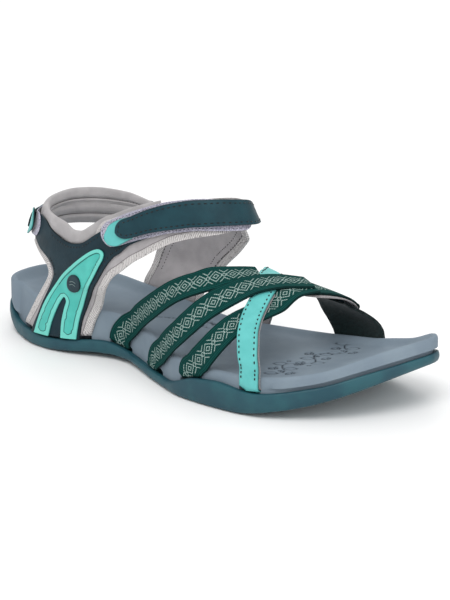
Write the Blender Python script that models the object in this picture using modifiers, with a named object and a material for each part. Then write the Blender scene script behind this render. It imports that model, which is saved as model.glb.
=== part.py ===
"""A right-foot women's strappy sport sandal, modelled as the pieces that it is made of.

Frame: metres, +Z up, toe towards -Y, inner side of the foot towards +X, origin on the
floor under the middle of the sole.  Sizes below are in millimetres, and MM turns them
into metres where a mesh is made.  "Back" distances run from the heel towards the toe.
"""
import math

import bmesh
import bpy
from mathutils import Matrix, Vector

MM = 0.001
LENGTH = 264.0          # heel to toe of the outsole
GAP = 0.3               # clearance between hard pieces
SKIN = 0.6              # clearance between bent layers
WALL_GAP = 1.1          # clearance between the footbed's side and a strap on it
SHEET = 1.0             # coated fabric and leather layers
WEB = 1.2               # woven strap
LINING = 1.6            # padded lining
SOLE_PLATE = 3.0        # outsole thickness under the footbed
FOOTBED_SETBACK = 3.5   # footbed side, measured in from the outsole's edge
RIM_WIDTH = 6.0         # raised footbed rim
TUCK = 7.0              # strap margin that lies inside the sole
TUCK_BEND = 0.7         # bend radius where a strap turns into the sole
FLOOR_INSET = 9.0       # inner ring of the floor between outsole and footbed
REAR_STACK = LINING + SKIN + SHEET    # all layers of a quarter
FORE_STACK = 2.8        # all layers of a forefoot strap
FOLD_SETBACK = 2.2      # from a closing strap's sewn end to its fold line
FOLD_RISE = 0.2         # height of the fold line over the quarter
TAB_FOLD = (106, 192, 3.5)    # forefoot tab's fold line: chart angle, distance back, height
ANCHOR_GAP = 0.8        # clearance round the forefoot anchor's sheets
FULLNESS = 2.3          # squareness of the ankle's sections, 2 is an ellipse
FORE_FULLNESS = 2.1     # squareness of the forefoot's sections

parts = None
cutters = None
SHIFT = None


def clamp(value, low, high):
    return max(low, min(high, value))


def ease(low, high, value):
    """0 below low, 1 above high, and smooth between them."""
    t = clamp((value - low) / (high - low), 0.0, 1.0)
    return t * t * (3 - 2 * t)


def curve_through(knots):
    """A smooth function through (position, value) pairs that never overshoots them."""
    spots = [float(knot[0]) for knot in knots]
    values = [float(knot[1]) for knot in knots]
    count = len(spots)
    rises = [(values[i + 1] - values[i]) / (spots[i + 1] - spots[i]) for i in range(count - 1)]
    slopes = [rises[0]]
    for before, after in zip(rises, rises[1:]):
        turning = before * after <= 0
        slopes.append(0.0 if turning else 2 * before * after / (before + after))
    slopes.append(rises[-1])

    def at(spot):
        spot = clamp(spot, spots[0], spots[-1])
        i = 0
        while i < count - 2 and spot > spots[i + 1]:
            i += 1
        span = spots[i + 1] - spots[i]
        t = (spot - spots[i]) / span
        start = values[i] * (1 + 2 * t) + slopes[i] * span * t
        end = values[i + 1] * (3 - 2 * t) - slopes[i + 1] * span * (1 - t)
        return start * (1 - t) ** 2 + end * t * t
    return at


# ---- the sole's outline and heights, by distance from the heel --------------------------

OUTER_EDGE = curve_through([
    (0, 0), (0.6, 8), (3.7, 17), (9.5, 22), (20, 27.8), (31, 33.4), (40, 36.2), (51, 37.2),
    (62, 36.2), (72, 33.4), (81, 30.3), (90, 28.2), (98, 28.4), (106, 31), (114, 34.6),
    (122, 38.6), (130, 42.4), (138, 46), (146, 49.6), (153, 52.2), (162, 53.8), (178, 54.8),
    (192, 54.6), (204, 53.4), (214, 50), (224, 44.5), (236, 36), (248, 23.5), (257, 8),
    (262, -6), (264, -15)])
INNER_EDGE = curve_through([
    (0, 0), (0.8, 8), (5, 16.5), (11, 24), (19, 29), (41, 31.3), (66, 29.1), (96, 26.2),
    (126, 25.6), (156, 34.5), (184, 39.8), (206, 43.6), (231, 41.7), (247, 36.5), (256, 30),
    (262, 22), (264, 15)])
LIP_SETBACK = curve_through([
    (0, 0.9), (11, 1.1), (17, 3.3), (30, FOOTBED_SETBACK), (208, FOOTBED_SETBACK), (224, 1.2), (264, 0.9)])
UNDERSIDE = curve_through([
    (0, 11), (8, 4), (19, 0), (46, 0), (80, 2.2), (105, 1.2), (125, 0), (190, 0), (216, 4),
    (236, 10), (264, 23.5)])
BAND_TOP = curve_through([
    (0, 17.4), (21, 6.8), (51, 6.6), (81, 9), (108, 5), (141, 4.5), (166, 12), (181, 13.5),
    (201, 11.7), (231, 16.8), (250, 23.6), (261, 27.4), (264, 28.2)])
RIM_TOP = curve_through([
    (0, 28.8), (31, 27.7), (81, 25), (121, 20.7), (161, 18.2), (201, 19.4), (231, 24.3),
    (255, 34.2), (264, 36.6)])
DISH_DEPTH = curve_through([(0, 5.5), (60, 5), (110, 3), (160, 2.5), (220, 3.5), (264, 4)])

# ---- the foot's shape, which the straps follow ----------------------------------------

HEEL_BACK = curve_through([(0, 3), (30, 8), (50, 14), (60, 18), (70, 21), (80, 22), (110, 24)])
INSTEP = curve_through([(0, 193), (60, 180), (68, 167), (75, 157.5), (80, 153.5), (92, 148), (110, 139)])
ANKLE_OUTER = curve_through([(0, 34.5), (30, 36), (50, 35.5), (70, 32.5), (90, 29), (110, 27)])
ANKLE_INNER = curve_through([(0, 31), (30, 32.5), (50, 32), (70, 30), (90, 27), (110, 25)])
FOOT_BASE = curve_through([(60, 24), (100, 22), (130, 20), (200, 20), (220, 23), (240, 28), (264, 35)])
FOOT_CREST = curve_through([
    (60, 90), (100, 78), (120, 71), (140, 64), (160, 57), (180, 50.3), (200, 45), (220, 40),
    (240, 38)])


def wall(side, back, off):
    """Sideways place of a strap on the footbed's side: side is -1 outer, 1 inner."""
    edge = OUTER_EDGE(back) if side < 0 else INNER_EDGE(back)
    return side * (edge - FOOTBED_SETBACK + WALL_GAP + off)


def straight_drop(back, top, stack):
    """How far a strap runs straight down from the height top before it turns in."""
    return max(top - BAND_TOP(back) - GAP - stack - TUCK_BEND, 0.0)


def bend_length(stack):
    return (TUCK_BEND + stack / 2) * math.pi / 2


def rooted(side, back):
    """The first two knots of a forefoot strap: its end inside the sole, and its bend."""
    drop = straight_drop(back, FOOT_BASE(back), FORE_STACK)
    end = drop + bend_length(FORE_STACK) + TUCK
    if side < 0:
        return [(-end, back), (-drop - bend_length(FORE_STACK), back), (-drop, back)]
    return [(180 + drop, back), (180 + drop + bend_length(FORE_STACK), back), (180 + end, back)]


def tuck(side, back, below, off, top, stack):
    """A strap's way down the footbed's side from the height top and on into the sole."""
    slot = BAND_TOP(back) + GAP + stack
    straight = straight_drop(back, top, stack)
    if below <= straight:
        return wall(side, back, off), top - below
    arc = bend_length(stack)
    turn = clamp((below - straight) / arc, 0.0, 1.0) * math.pi / 2
    radius = TUCK_BEND + off
    x = wall(side, back, -TUCK_BEND) + side * radius * math.cos(turn)
    z = slot + TUCK_BEND - radius * math.sin(turn)
    beyond = max(below - straight - arc, 0.0)
    return x - side * beyond, z


def rear(angle, height, off=0.0):
    """A point on the ankle: angle 0 heel, 90 outer side, -90 inner side, 180 instep.

    off counts from the inner face of the lining; a low height runs on into the sole.
    """
    cosine = math.cos(math.radians(angle))
    sine = math.sin(math.radians(angle))
    side = -1 if sine >= 0 else 1
    level = max(height, 0.0)
    proud = off - LINING - SKIN
    back_end = HEEL_BACK(level)
    front_end = INSTEP(level)
    reach = (front_end - back_end) / 2 + proud
    width = (ANKLE_OUTER(level) if side < 0 else ANKLE_INNER(level)) + proud
    back = (front_end + back_end) / 2 - reach * math.copysign(abs(cosine) ** (2 / FULLNESS), cosine)
    x = side * width * abs(sine) ** (2 / FULLNESS)
    foot_top = 42.0
    if height < foot_top and 0 < back < LENGTH:
        low_x, low_z = tuck(side, back, foot_top - height, off, foot_top, REAR_STACK)
        share = ease(24, foot_top, height)
        return Vector((low_x + (x - low_x) * share, LENGTH / 2 - back, low_z))
    return Vector((x, LENGTH / 2 - back, height))


def fore(angle, back, off=0.0):
    """A point on the forefoot: angle 0 outer side, 90 crest, 180 inner side.

    Below 0 and above 180 the angle counts millimetres down the side and into the sole.
    """
    outer, inner = wall(-1, back, 0.0), wall(1, back, 0.0)
    base = FOOT_BASE(back)
    if angle < 0 or angle > 180:
        side = -1 if angle < 0 else 1
        below = -angle if angle < 0 else angle - 180
        x, z = tuck(side, back, below, off, base, FORE_STACK)
        return Vector((x, LENGTH / 2 - back, z))
    cosine = math.cos(math.radians(angle))
    sine = max(math.sin(math.radians(angle)), 0.0)
    half = (inner - outer) / 2 + off
    rise = FOOT_CREST(back) - base + off
    x = (inner + outer) / 2 - half * math.copysign(abs(cosine) ** (2 / FORE_FULLNESS), cosine)
    z = base + rise * sine ** (2 / FORE_FULLNESS)
    return Vector((x, LENGTH / 2 - back, z))


# ---- making objects ---------------------------------------------------------------------

def clear_scene():
    for item in list(bpy.data.objects):
        bpy.data.objects.remove(item, do_unlink=True)


def material(name, colour, roughness, metallic=0.0):
    """A Principled material with an sRGB colour given in 0-255 steps."""
    made = bpy.data.materials.new(name)
    made.use_nodes = True
    shader = made.node_tree.nodes["Principled BSDF"]
    linear = [(step / 255) ** 2.2 for step in colour]
    shader.inputs["Base Color"].default_value = (*linear, 1.0)
    shader.inputs["Roughness"].default_value = roughness
    shader.inputs["Metallic"].default_value = metallic
    made.diffuse_color = (*linear, 1.0)
    return made


def add_object(name, points, faces, finish, collection=None):
    """An object from points in millimetres."""
    mesh = bpy.data.meshes.new(name)
    mesh.from_pydata([tuple(Vector(point) * MM) for point in points], [], faces)
    mesh.validate()
    made = bpy.data.objects.new(name, mesh)
    (collection or parts).objects.link(made)
    if finish:
        mesh.materials.append(finish)
    mesh.shade_smooth()
    mesh.set_sharp_from_angle(angle=math.radians(40))
    return made


def cut(target, cutter, operation="DIFFERENCE"):
    modifier = target.modifiers.new(cutter.name, "BOOLEAN")
    modifier.operation = operation
    modifier.object = cutter
    modifier.solver = "EXACT"


def make_cutter(name, points, faces):
    made = add_object(name, points, faces, None, cutters)
    made.hide_render = True
    made.display_type = "WIRE"
    return made


def lofted(rings):
    """Points and faces of a closed body through rings with the same number of points."""
    count = len(rings[0])
    points = [point for ring in rings for point in ring]
    faces = []
    for level in range(len(rings) - 1):
        low = level * count
        high = low + count
        for i in range(count):
            j = (i + 1) % count
            faces.append((low + i, low + j, high + j, high + i))
    last = len(points) - count
    for i in range(count // 2):
        j, k, m = i + 1, (count - i - 1) % count, (count - i) % count
        corners = [i, j, k, m] if k != j else [i, j, m]
        corners = [c for n, c in enumerate(corners) if c not in corners[:n]]
        if len(corners) > 2:
            faces.append(tuple(corners))
            faces.append(tuple(last + c for c in reversed(corners)))
    return points, faces


def closed_curve(points, steps=2):
    """A smooth closed outline through hand-placed points; a point given twice is a corner."""
    outline = []
    count = len(points)
    for i in range(count):
        before, start, end, after = (Vector(points[(i + k) % count]) for k in (-1, 0, 1, 2))
        if (end - start).length < 1e-6:
            continue
        leave = (end - before) / 2 if (start - before).length > 1e-6 else (end - start) / 2
        arrive = (after - start) / 2 if (after - end).length > 1e-6 else (end - start) / 2
        for step in range(steps):
            t = step / steps
            outline.append(start * (2 * t ** 3 - 3 * t ** 2 + 1) + leave * (t ** 3 - 2 * t ** 2 + t)
                           + end * (3 * t ** 2 - 2 * t ** 3) + arrive * (t ** 3 - t ** 2))
    return outline


def bent_grid(name, place, columns, rows, thickness, finish):
    """A flat slab of cells, bent so that each corner goes to place(u, v, depth)."""
    shape = bmesh.new()
    bmesh.ops.create_grid(shape, x_segments=columns, y_segments=rows, size=0.5)
    raised = bmesh.ops.extrude_face_region(shape, geom=shape.faces[:])
    for item in raised["geom"]:
        if isinstance(item, bmesh.types.BMVert):
            item.co.z = thickness
    for vertex in shape.verts:
        vertex.co = place(vertex.co.x + 0.5, vertex.co.y + 0.5, vertex.co.z) * MM
    face_outward(shape)
    mesh = bpy.data.meshes.new(name)
    shape.to_mesh(mesh)
    shape.free()
    mesh.materials.append(finish)
    mesh.shade_smooth()
    mesh.set_sharp_from_angle(angle=math.radians(40))
    made = bpy.data.objects.new(name, mesh)
    parts.objects.link(made)
    return made


def walk(chart, a, b, direction, distance):
    """The chart place reached by going a distance over the surface in a direction."""
    pieces = 3
    probe = 0.05
    for _ in range(pieces):
        along_a = (chart(a + probe, b) - chart(a - probe, b)) / (2 * probe)
        along_b = (chart(a, b + probe) - chart(a, b - probe)) / (2 * probe)
        step = direction * (distance / pieces)
        aa, bb, ab = along_a.dot(along_a), along_b.dot(along_b), along_a.dot(along_b)
        sa, sb = step.dot(along_a), step.dot(along_b)
        size = max(aa * bb - ab * ab, 1e-6)
        a += (sa * bb - sb * ab) / size
        b += (sb * aa - sa * ab) / size
    return a, b


def route_functions(chart, knots):
    """The chart's two places as functions of the share of a route's length."""
    points = [chart(a, b) for a, b in knots]
    run = [0.0]
    for start, end in zip(points, points[1:]):
        run.append(run[-1] + (end - start).length)
    shares = [distance / run[-1] for distance in run]
    a_at = curve_through([(share, a) for share, (a, _) in zip(shares, knots)])
    b_at = curve_through([(share, b) for share, (_, b) in zip(shares, knots)])
    return a_at, b_at, run[-1]


def stations_along(chart, a_at, b_at, longest, sharpest=13.0):
    """Shares of a route's length, close together where the route bends."""
    fine = 240
    centre = [chart(a_at(i / fine), b_at(i / fine)) for i in range(fine + 1)]
    shares = [0.0]
    run = turned = 0.0
    for i in range(1, fine):
        before = centre[i] - centre[i - 1]
        after = centre[i + 1] - centre[i]
        run += before.length
        if before.length > 1e-6 and after.length > 1e-6:
            turned += math.degrees(before.angle(after))
        if run >= longest or turned >= sharpest:
            shares.append(i / fine)
            run = turned = 0.0
    return shares + [1.0]


def ribbon(name, chart, knots, width, inner, thickness, finish, lift=None, round_ends=(0, 0), rows=2,
           longest=6.5):
    """A strap along a route on a chart.

    width is millimetres, or (share, millimetres) pairs; lift raises it, as (chart angle,
    millimetres) pairs; round_ends are the lengths over which the start and end round off.
    """
    a_at, b_at, length = route_functions(chart, knots)
    width_at = curve_through(width) if isinstance(width, list) else (lambda share: width)
    lift_at = curve_through(lift) if lift else (lambda angle: 0.0)
    shares = stations_along(chart, a_at, b_at, longest)
    for reach, at_end in ((round_ends[0], False), (round_ends[1], True)):
        extra = [0.12 * reach / length, 0.45 * reach / length] if reach else []
        shares = sorted(set(shares + [1 - share if at_end else share for share in extra]))

    def place(u, v, depth):
        share = shares[round(u * (len(shares) - 1))]
        a, b = a_at(share), b_at(share)
        step = 0.004
        ahead = (chart(a_at(share + step), b_at(share + step))
                 - chart(a_at(share - step), b_at(share - step)))
        outward = chart(a, b, 1.0) - chart(a, b)
        across = outward.cross(ahead).normalized()
        half = width_at(share) / 2
        for distance, radius in ((share * length, round_ends[0]), ((1 - share) * length, round_ends[1])):
            if radius and distance < radius:
                half *= math.sqrt(max(1 - (1 - distance / radius) ** 2, 0.03))
        side_a, side_b = walk(chart, a, b, across, half * (2 * v - 1))
        return chart(side_a, side_b, inner + lift_at(side_a) + depth)
    return bent_grid(name, place, len(shares) - 1, rows, thickness, finish)


def grid_lines(low, high, cell, fine):
    """Evenly spaced lines from low to high, at the fine spacing where sheets bend into the sole."""
    lines = [low]
    while lines[-1] < high:
        bending = -1 <= lines[-1] < 12.5
        lines.append(lines[-1] + (fine if bending else cell))
    return lines


def bent_panel(name, chart, outline, inner, thickness, finish, cell=5.5):
    """A sheet cut to an outline in chart places and bent on to the chart."""
    edge = closed_curve(outline)
    low = Vector((min(point.x for point in edge), min(point.y for point in edge)))
    high = Vector((max(point.x for point in edge), max(point.y for point in edge)))
    across = grid_lines(low.x - 1, high.x + 1, cell, cell)
    up = grid_lines(low.y - 1, high.y + 1, cell, 1.0)
    bpy.ops.mesh.primitive_grid_add(x_subdivisions=len(across) - 1, y_subdivisions=len(up) - 1, size=1.0)
    slab = bpy.context.object
    slab.name = name + "_flat"
    for vertex in slab.data.vertices:
        vertex.co.x = across[round((vertex.co.x + 0.5) * (len(across) - 1))]
        vertex.co.y = up[round((vertex.co.y + 0.5) * (len(up) - 1))]
    solid = slab.modifiers.new("thickness", "SOLIDIFY")
    solid.thickness = thickness
    solid.offset = 1.0
    rings = [[Vector((point.x, point.y, z)) / MM for point in edge] for z in (-1.0, thickness + 1.0)]
    shape = make_cutter(name + "_outline", *lofted(rings))
    orient_outward(shape.data)
    cut(slab, shape, "INTERSECT")
    bpy.context.view_layer.update()
    flat = bpy.data.meshes.new_from_object(slab.evaluated_get(bpy.context.evaluated_depsgraph_get()))
    for item in (slab, shape):
        bpy.data.objects.remove(item, do_unlink=True)
    for vertex in flat.vertices:
        u, v, w = vertex.co
        vertex.co = chart(u, v, inner + w) * MM
    orient_outward(flat)
    flat.materials.clear()
    flat.materials.append(finish)
    flat.shade_smooth()
    flat.set_sharp_from_angle(angle=math.radians(40))
    made = bpy.data.objects.new(name, flat)
    parts.objects.link(made)
    return made


def orient_outward(mesh):
    shape = bmesh.new()
    shape.from_mesh(mesh)
    bmesh.ops.remove_doubles(shape, verts=shape.verts, dist=1e-7)
    face_outward(shape)
    shape.to_mesh(mesh)
    shape.free()


def face_outward(shape):
    bmesh.ops.recalc_face_normals(shape, faces=shape.faces)
    if shape.calc_volume(signed=True) < 0:
        bmesh.ops.reverse_faces(shape, faces=shape.faces)


# ---- the sole ------------------------------------------------------------------------

def sole_outline(stations=100, count=60):
    """Evenly spaced points round the sole, seen from above as (sideways, distance back)."""
    outer, inner = [], []
    for i in range(stations + 1):
        back = LENGTH * (1 - math.cos(math.pi * i / stations)) / 2
        outer.append(Vector((-OUTER_EDGE(back), back)))
        inner.append(Vector((INNER_EDGE(back), back)))
    loop = outer + list(reversed(inner[1:-1]))
    run = [0.0]
    for start, end in zip(loop, loop[1:] + loop[:1]):
        run.append(run[-1] + (end - start).length)
    loop.append(loop[0])
    even = []
    i = 0
    for k in range(count):
        goal = run[-1] * k / count
        while run[i + 1] <= goal:
            i += 1
        even.append(loop[i].lerp(loop[i + 1], (goal - run[i]) / (run[i + 1] - run[i])))
    return even


def sole_ring(inset, height):
    """The sole's outline moved inwards; inset and height are functions of the distance back."""
    loop = sole_outline()
    count = len(loop)
    spread = 3
    ring = []
    for i, point in enumerate(loop):
        along = (loop[(i + spread) % count] - loop[i - spread]).normalized()
        moved = point + Vector((along.y, -along.x)) * (inset if isinstance(inset, float) else inset(point.y))
        ring.append(Vector((moved.x, LENGTH / 2 - moved.y, height(clamp(moved.y, 0, LENGTH)))))
    return ring


def outsole(finish):
    def under(rise):
        return lambda back: UNDERSIDE(back) + rise

    def band(drop):
        return lambda back: BAND_TOP(back) - drop

    def flank(back):
        return UNDERSIDE(back) + 0.45 * (BAND_TOP(back) - UNDERSIDE(back))
    rings = [sole_ring(5.0, under(0)), sole_ring(1.8, under(0)), sole_ring(0.5, under(1.0)),
             sole_ring(0.0, flank), sole_ring(0.5, band(0.5)), sole_ring(1.0, band(0)),
             sole_ring(FOOTBED_SETBACK - GAP, band(0)), sole_ring(FOOTBED_SETBACK - GAP, under(SOLE_PLATE)),
             sole_ring(FLOOR_INSET, under(SOLE_PLATE))]
    points, faces = lofted(rings)
    made = add_object("outsole", points, faces, finish)
    orient_outward(made.data)
    for index in range(9):
        back = 34 + index * 18
        cut(made, tread_groove(back))
    return made


def tread_groove(back):
    """One shallow wavy groove across the tread."""
    width, depth, margin = 3.0, 1.6, 7.0
    outer, inner = -OUTER_EDGE(back) + margin, INNER_EDGE(back) - margin
    bends = 4
    rings = []
    for i in range(bends + 1):
        x = outer + (inner - outer) * i / bends
        y = LENGTH / 2 - back + (2.5 if i % 2 else -2.5)
        top = UNDERSIDE(back) + depth
        rings.append([(x, y - width / 2, UNDERSIDE(back) - 3), (x, y + width / 2, UNDERSIDE(back) - 3),
                      (x, y + width / 2, top), (x, y - width / 2, top)])
    points, faces = lofted(rings)
    tool = make_cutter("tread_groove_%d" % back, points, faces)
    orient_outward(tool.data)
    return tool


def footbed(finish, landings):
    def floor(back):
        return UNDERSIDE(back) + SOLE_PLATE + 3 * GAP

    def lip(inward):
        return lambda back: LIP_SETBACK(back) + inward

    def above_band(rise):
        return lambda back: BAND_TOP(back) + rise

    def rim(share, drop=0.0):
        return lambda back: RIM_TOP(back) - share * DISH_DEPTH(back) - drop
    rings = [sole_ring(FLOOR_INSET, floor), sole_ring(FOOTBED_SETBACK, floor),
             sole_ring(FOOTBED_SETBACK, above_band(0.4)), sole_ring(lip(0), above_band(1.4)),
             sole_ring(lip(0), rim(0, 2.2)), sole_ring(lip(0.6), rim(0, 0.7)), sole_ring(lip(1.8), rim(0)),
             sole_ring(lip(3.2), rim(0.15)), sole_ring(lip(RIM_WIDTH), rim(0.75)), sole_ring(15.0, rim(1.0))]
    points, faces = lofted(rings)
    made = add_object("footbed", points, faces, finish)
    orient_outward(made.data)
    for landing in landings:
        cut(made, slot_cutter(*landing))
    return made


def slot_cutter(name, side, start, end, stack):
    """The pocket in the footbed's side that takes a strap's end."""
    stations = 5
    rings = []
    for i in range(stations + 1):
        back = start - GAP + (end - start + 2 * GAP) * i / stations
        outer, inner = wall(side, back, 2.0), wall(side, back, -TUCK - 6.0)
        low, high = BAND_TOP(back) - 0.5, BAND_TOP(back) + SKIN + 2 * WALL_GAP + stack
        y = LENGTH / 2 - back
        rings.append([(outer, y, low), (inner, y, low), (inner, y, high), (outer, y, high)])
    points, faces = lofted(rings)
    tool = make_cutter("slot_" + name, points, faces)
    orient_outward(tool.data)
    return tool


# ---- the upper's rear ------------------------------------------------------------------

QUARTER_OUTLINE = [
    (48, -1), (48, -1), (49, 10), (53, 20), (58, 29), (61, 36), (61.5, 42), (59.5, 46),
    (54, 49.5), (46, 52), (38, 54.5), (31, 56), (31, 56), (31, 67), (31, 67), (38, 68), (46, 66.5),
    (52, 63.6), (61, 60.9), (68, 59.8), (74, 61.4), (80, 65.3), (88, 71.1), (96, 77), (106, 82),
    (118, 86), (132, 88.7), (150, 90), (164, 89.5), (176, 88.3), (185, 87), (185, 87), (185, 79),
    (185, 79), (176, 79.5), (164, 79.5), (145, 79), (128, 77), (112, 73), (101, 68.5), (94, 64.5),
    (89, 58.6), (86, 51.6), (84, 44.8), (81, 33.1), (78, 23.5), (76, 14.8), (75, -1), (75, -1)]
QUARTER_LINING_OUTLINE = [
    (40, -1), (40, -1), (42, 8), (50, 20.5), (55, 31), (57.5, 39), (55.5, 44), (49, 47), (42, 49),
    (36, 50.5), (30, 52), (30, 52), (30, 54.3), (30, 54.3), (45, 57), (58, 59), (66, 57.3),
    (72, 58.3), (78, 61), (81.5, 65), (84, 70), (89, 75.5), (95, 79), (106, 84), (117, 87.8),
    (133, 90.6), (151, 91.9), (168, 91), (178, 89.4), (186, 87.2), (188, 83.5), (185, 79), (176, 77.8),
    (166, 76.6), (144, 74.8),
    (133, 73.4), (121, 70.8), (112, 67.5), (103, 63.5), (96, 58.5), (91, 51.5), (88, 45.5),
    (86, 38.8), (83, 30.5), (80, 20), (78.5, 9.7), (78, -1), (78, -1)]
OVERLAY_OUTLINE = [
    (53, 10.3), (53, 10.3), (56, 13), (59, 17), (62, 27), (66, 39), (72, 47.2), (77, 54.5),
    (81, 59.3), (84, 61), (86, 59), (85.5, 52.5), (83, 41), (80, 31), (77, 21), (74, 13), (74, 10.3),
    (74, 10.3), (69.5, 10.3), (69.5, 10.3), (71, 20), (72, 27.6), (71, 32), (69, 29), (67, 20),
    (64, 12.5), (62, 10.3), (62, 10.3)]
MEDIAL_OUTLINE = [
    (-72, -1), (-72, -1), (-73, 15), (-74, 26.5), (-76, 35), (-76, 43), (-74, 50), (-68, 56),
    (-62, 58), (-62, 58), (-62, 73), (-62, 73), (-76, 70), (-86, 71.5), (-96, 75), (-110, 79),
    (-130, 83), (-150, 85.3), (-164, 86), (-164, 86), (-164, 78.5), (-164, 78.5), (-152, 76.8),
    (-138, 75.2), (-127, 73.2), (-119.5, 69.5), (-114, 65), (-109, 59.5), (-104, 53), (-99, 46),
    (-95, 39), (-92, 30), (-90, 15), (-90, -1), (-90, -1)]
MEDIAL_LINING_OUTLINE = [
    (-68, -1), (-68, -1), (-69, 15), (-70, 26.5), (-72, 34.5), (-73, 43), (-75, 51), (-77, 57),
    (-77, 57), (-77, 71), (-77, 71), (-85, 72), (-96, 76.3), (-110, 80.5), (-130, 84.5), (-150, 86.8),
    (-163, 87.5), (-167, 85.5), (-167, 79.5), (-163, 77.3), (-152, 75.3), (-139, 73.6), (-128, 71.4),
    (-121, 67.8), (-116, 63.3), (-111, 57.8), (-106.5, 52), (-101, 45),
    (-97, 38), (-94.5, 30), (-93, 15), (-93, -1), (-93, -1)]
COLLAR_TOP = curve_through([
    (-75, 71), (-60, 75), (-40, 76), (-20, 75.5), (0, 74), (20, 72), (40, 70), (58, 68.5),
    (66, 66), (72, 66.5), (80, 70.5), (87, 75.5)])
COLLAR_BOTTOM = curve_through([
    (-75, 58), (-40, 56), (0, 55), (30, 55.5), (45, 58), (58, 60), (66, 58.5), (72, 59.5),
    (80, 64), (87, 69)])
COLLAR_START, COLLAR_END = -75.0, 80.0
COLLAR_INNER, COLLAR_OUTER = -3.6, LINING
COVER = 0.8
HEEL_ROUTE = [(23, 61), (10, 61), (0, 62), (-20, 64), (-40, 65), (-70, 64)]
INSTEP_ROUTE = [(104, 76.8), (113.5, 80.8), (127, 84.5), (141.5, 86.6), (157, 87), (174, 86), (185, 84.4),
                (196, 82.8), (206, 81.3), (214, 80.2)]


def collar_loop(angle, turn, shrink):
    """A point on the collar's section: turn 0 outwards, 90 up, in degrees."""
    top, bottom = COLLAR_TOP(angle), COLLAR_BOTTOM(angle)
    tall = (top - bottom) / 2 - shrink
    deep = (COLLAR_OUTER - COLLAR_INNER) / 2 - shrink
    cosine, sine = math.cos(math.radians(turn)), math.sin(math.radians(turn))
    square = 2 / 2.6
    off = (COLLAR_OUTER + COLLAR_INNER) / 2 + deep * math.copysign(abs(cosine) ** square, cosine)
    height = (top + bottom) / 2 + tall * math.copysign(abs(sine) ** square, sine)
    return rear(angle, height, off)


def collar(cover_finish, foam_finish):
    slit_start, slit_end = -70.0, -25.0

    def place(u, v, extra):
        angle = COLLAR_START + (COLLAR_END - COLLAR_START) * u
        return collar_loop(angle, slit_end + (360 + slit_start - slit_end) * v, COVER - extra)
    bent_grid("heel_collar_cover", place, 22, 9, COVER, cover_finish)
    rings = []
    stations = 22
    for i in range(stations + 1):
        angle = COLLAR_START + 1 + (COLLAR_END - COLLAR_START - 2) * i / stations
        rings.append([collar_loop(angle, 360 * k / 8, COVER + GAP + 0.1) for k in range(8)])
    points, faces = lofted(rings)
    foam = add_object("heel_collar_foam", points, faces, foam_finish)
    orient_outward(foam.data)


def rear_upper(finishes):
    first = 0.0
    second = LINING + SKIN
    third = second + SHEET + SKIN
    bent_panel("lateral_quarter_lining", rear, QUARTER_LINING_OUTLINE, first, LINING, finishes["lining"])
    bent_panel("lateral_quarter", rear, QUARTER_OUTLINE, second, SHEET, finishes["teal"])
    bent_panel("lateral_overlay", rear, OVERLAY_OUTLINE, third, 1.4, finishes["mint"], cell=4.0)
    badge_ring = [(75.5 + 2.4 * math.cos(t) - 0.6 * math.sin(t), 40 + 4.5 * math.sin(t))
                  for t in [math.radians(30 * k) for k in range(12)]]
    bent_panel("lateral_badge", rear, badge_ring, third + 1.4 + SKIN, 0.8, finishes["dark"], cell=4.0)
    bent_panel("medial_quarter_lining", rear, MEDIAL_LINING_OUTLINE, first, LINING, finishes["lining"])
    bent_panel("medial_quarter", rear, MEDIAL_OUTLINE, second, SHEET, finishes["teal"])
    collar(finishes["lining"], finishes["foam"])
    band_knots = [(29.5, 61.5), (15, 61.5), (0, 62.5), (-20, 64.5), (-40, 65.5), (-60.5, 65.5)]
    ribbon("heel_band", rear, band_knots, 13.5, second, SHEET, finishes["teal"])


def rear_straps(finishes):
    third = LINING + SKIN + SHEET + SKIN
    tape = 0.6
    hook = third + tape + SKIN
    base = hook + tape + SKIN
    top = base + SHEET + SKIN
    ribbon("heel_loop_strip", rear, [(40, 63), (30, 62), (20, 61.5), (0, 62.5), (-20, 64), (-34, 65)],
           13.0, third, tape, finishes["loop"], round_ends=(4, 0))
    ribbon("heel_hook_pad", rear, [(26, 62), (15, 61.5), (0, 62.5), (-12, 63.5)], 10.5, hook, tape,
           finishes["hook"])
    heel_lift = [(-70, third - base), (-52, third - base), (-38, 0), (20, 0), (37, 1.2)]
    ribbon("heel_strap_base", rear, [(37, 66), (30, 63.5)] + HEEL_ROUTE, 13.0, base, SHEET,
           finishes["mint"], lift=heel_lift, round_ends=(5, 0))
    ribbon("heel_strap_top", rear, [(28, 62.8)] + HEEL_ROUTE, 10.5, top, SHEET, finishes["teal"],
           lift=heel_lift, round_ends=(5, 0))
    ribbon("instep_loop_strip", rear,
           [(87, 68.5), (92, 71), (100, 75), (112, 79.5), (127, 83.5), (147, 85.7), (160, 85.3),
            (172, 84.5), (180, 83.6), (187, 82.8)], [(0, 13), (0.2, 15.5), (0.9, 15), (1, 13)], third, tape,
           finishes["loop"], round_ends=(7, 3))
    ribbon("instep_hook_pad", rear, [(96, 73), (104, 77), (114, 81), (127, 84.5), (141, 86.6)], 10.0,
           hook, tape, finishes["hook"])
    instep_lift = [(86, 0), (183, 0), (204, third - base), (215, third - base)]
    ribbon("instep_strap_base", wrapped_rear, [(89, 67.5), (95, 72)] + INSTEP_ROUTE,
           [(0, 11), (0.1, 13), (0.22, 11.5), (0.45, 13), (0.8, 13), (1, 12)], base, SHEET,
           finishes["mint"], lift=instep_lift, round_ends=(6, 0))
    ribbon("instep_strap_top", wrapped_rear, [(95, 72.5), (99, 74.7)] + INSTEP_ROUTE,
           [(0, 10), (0.15, 11.6), (0.45, 14), (0.8, 14), (1, 12)], top, SHEET,
           finishes["teal"], lift=instep_lift, round_ends=(5.5, 0))


def wrapped_rear(angle, height, off=0.0):
    """The ankle chart, with the angle running on past 180 on to the inner side."""
    return rear(angle if angle <= 180 else angle - 360, height, off)


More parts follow.
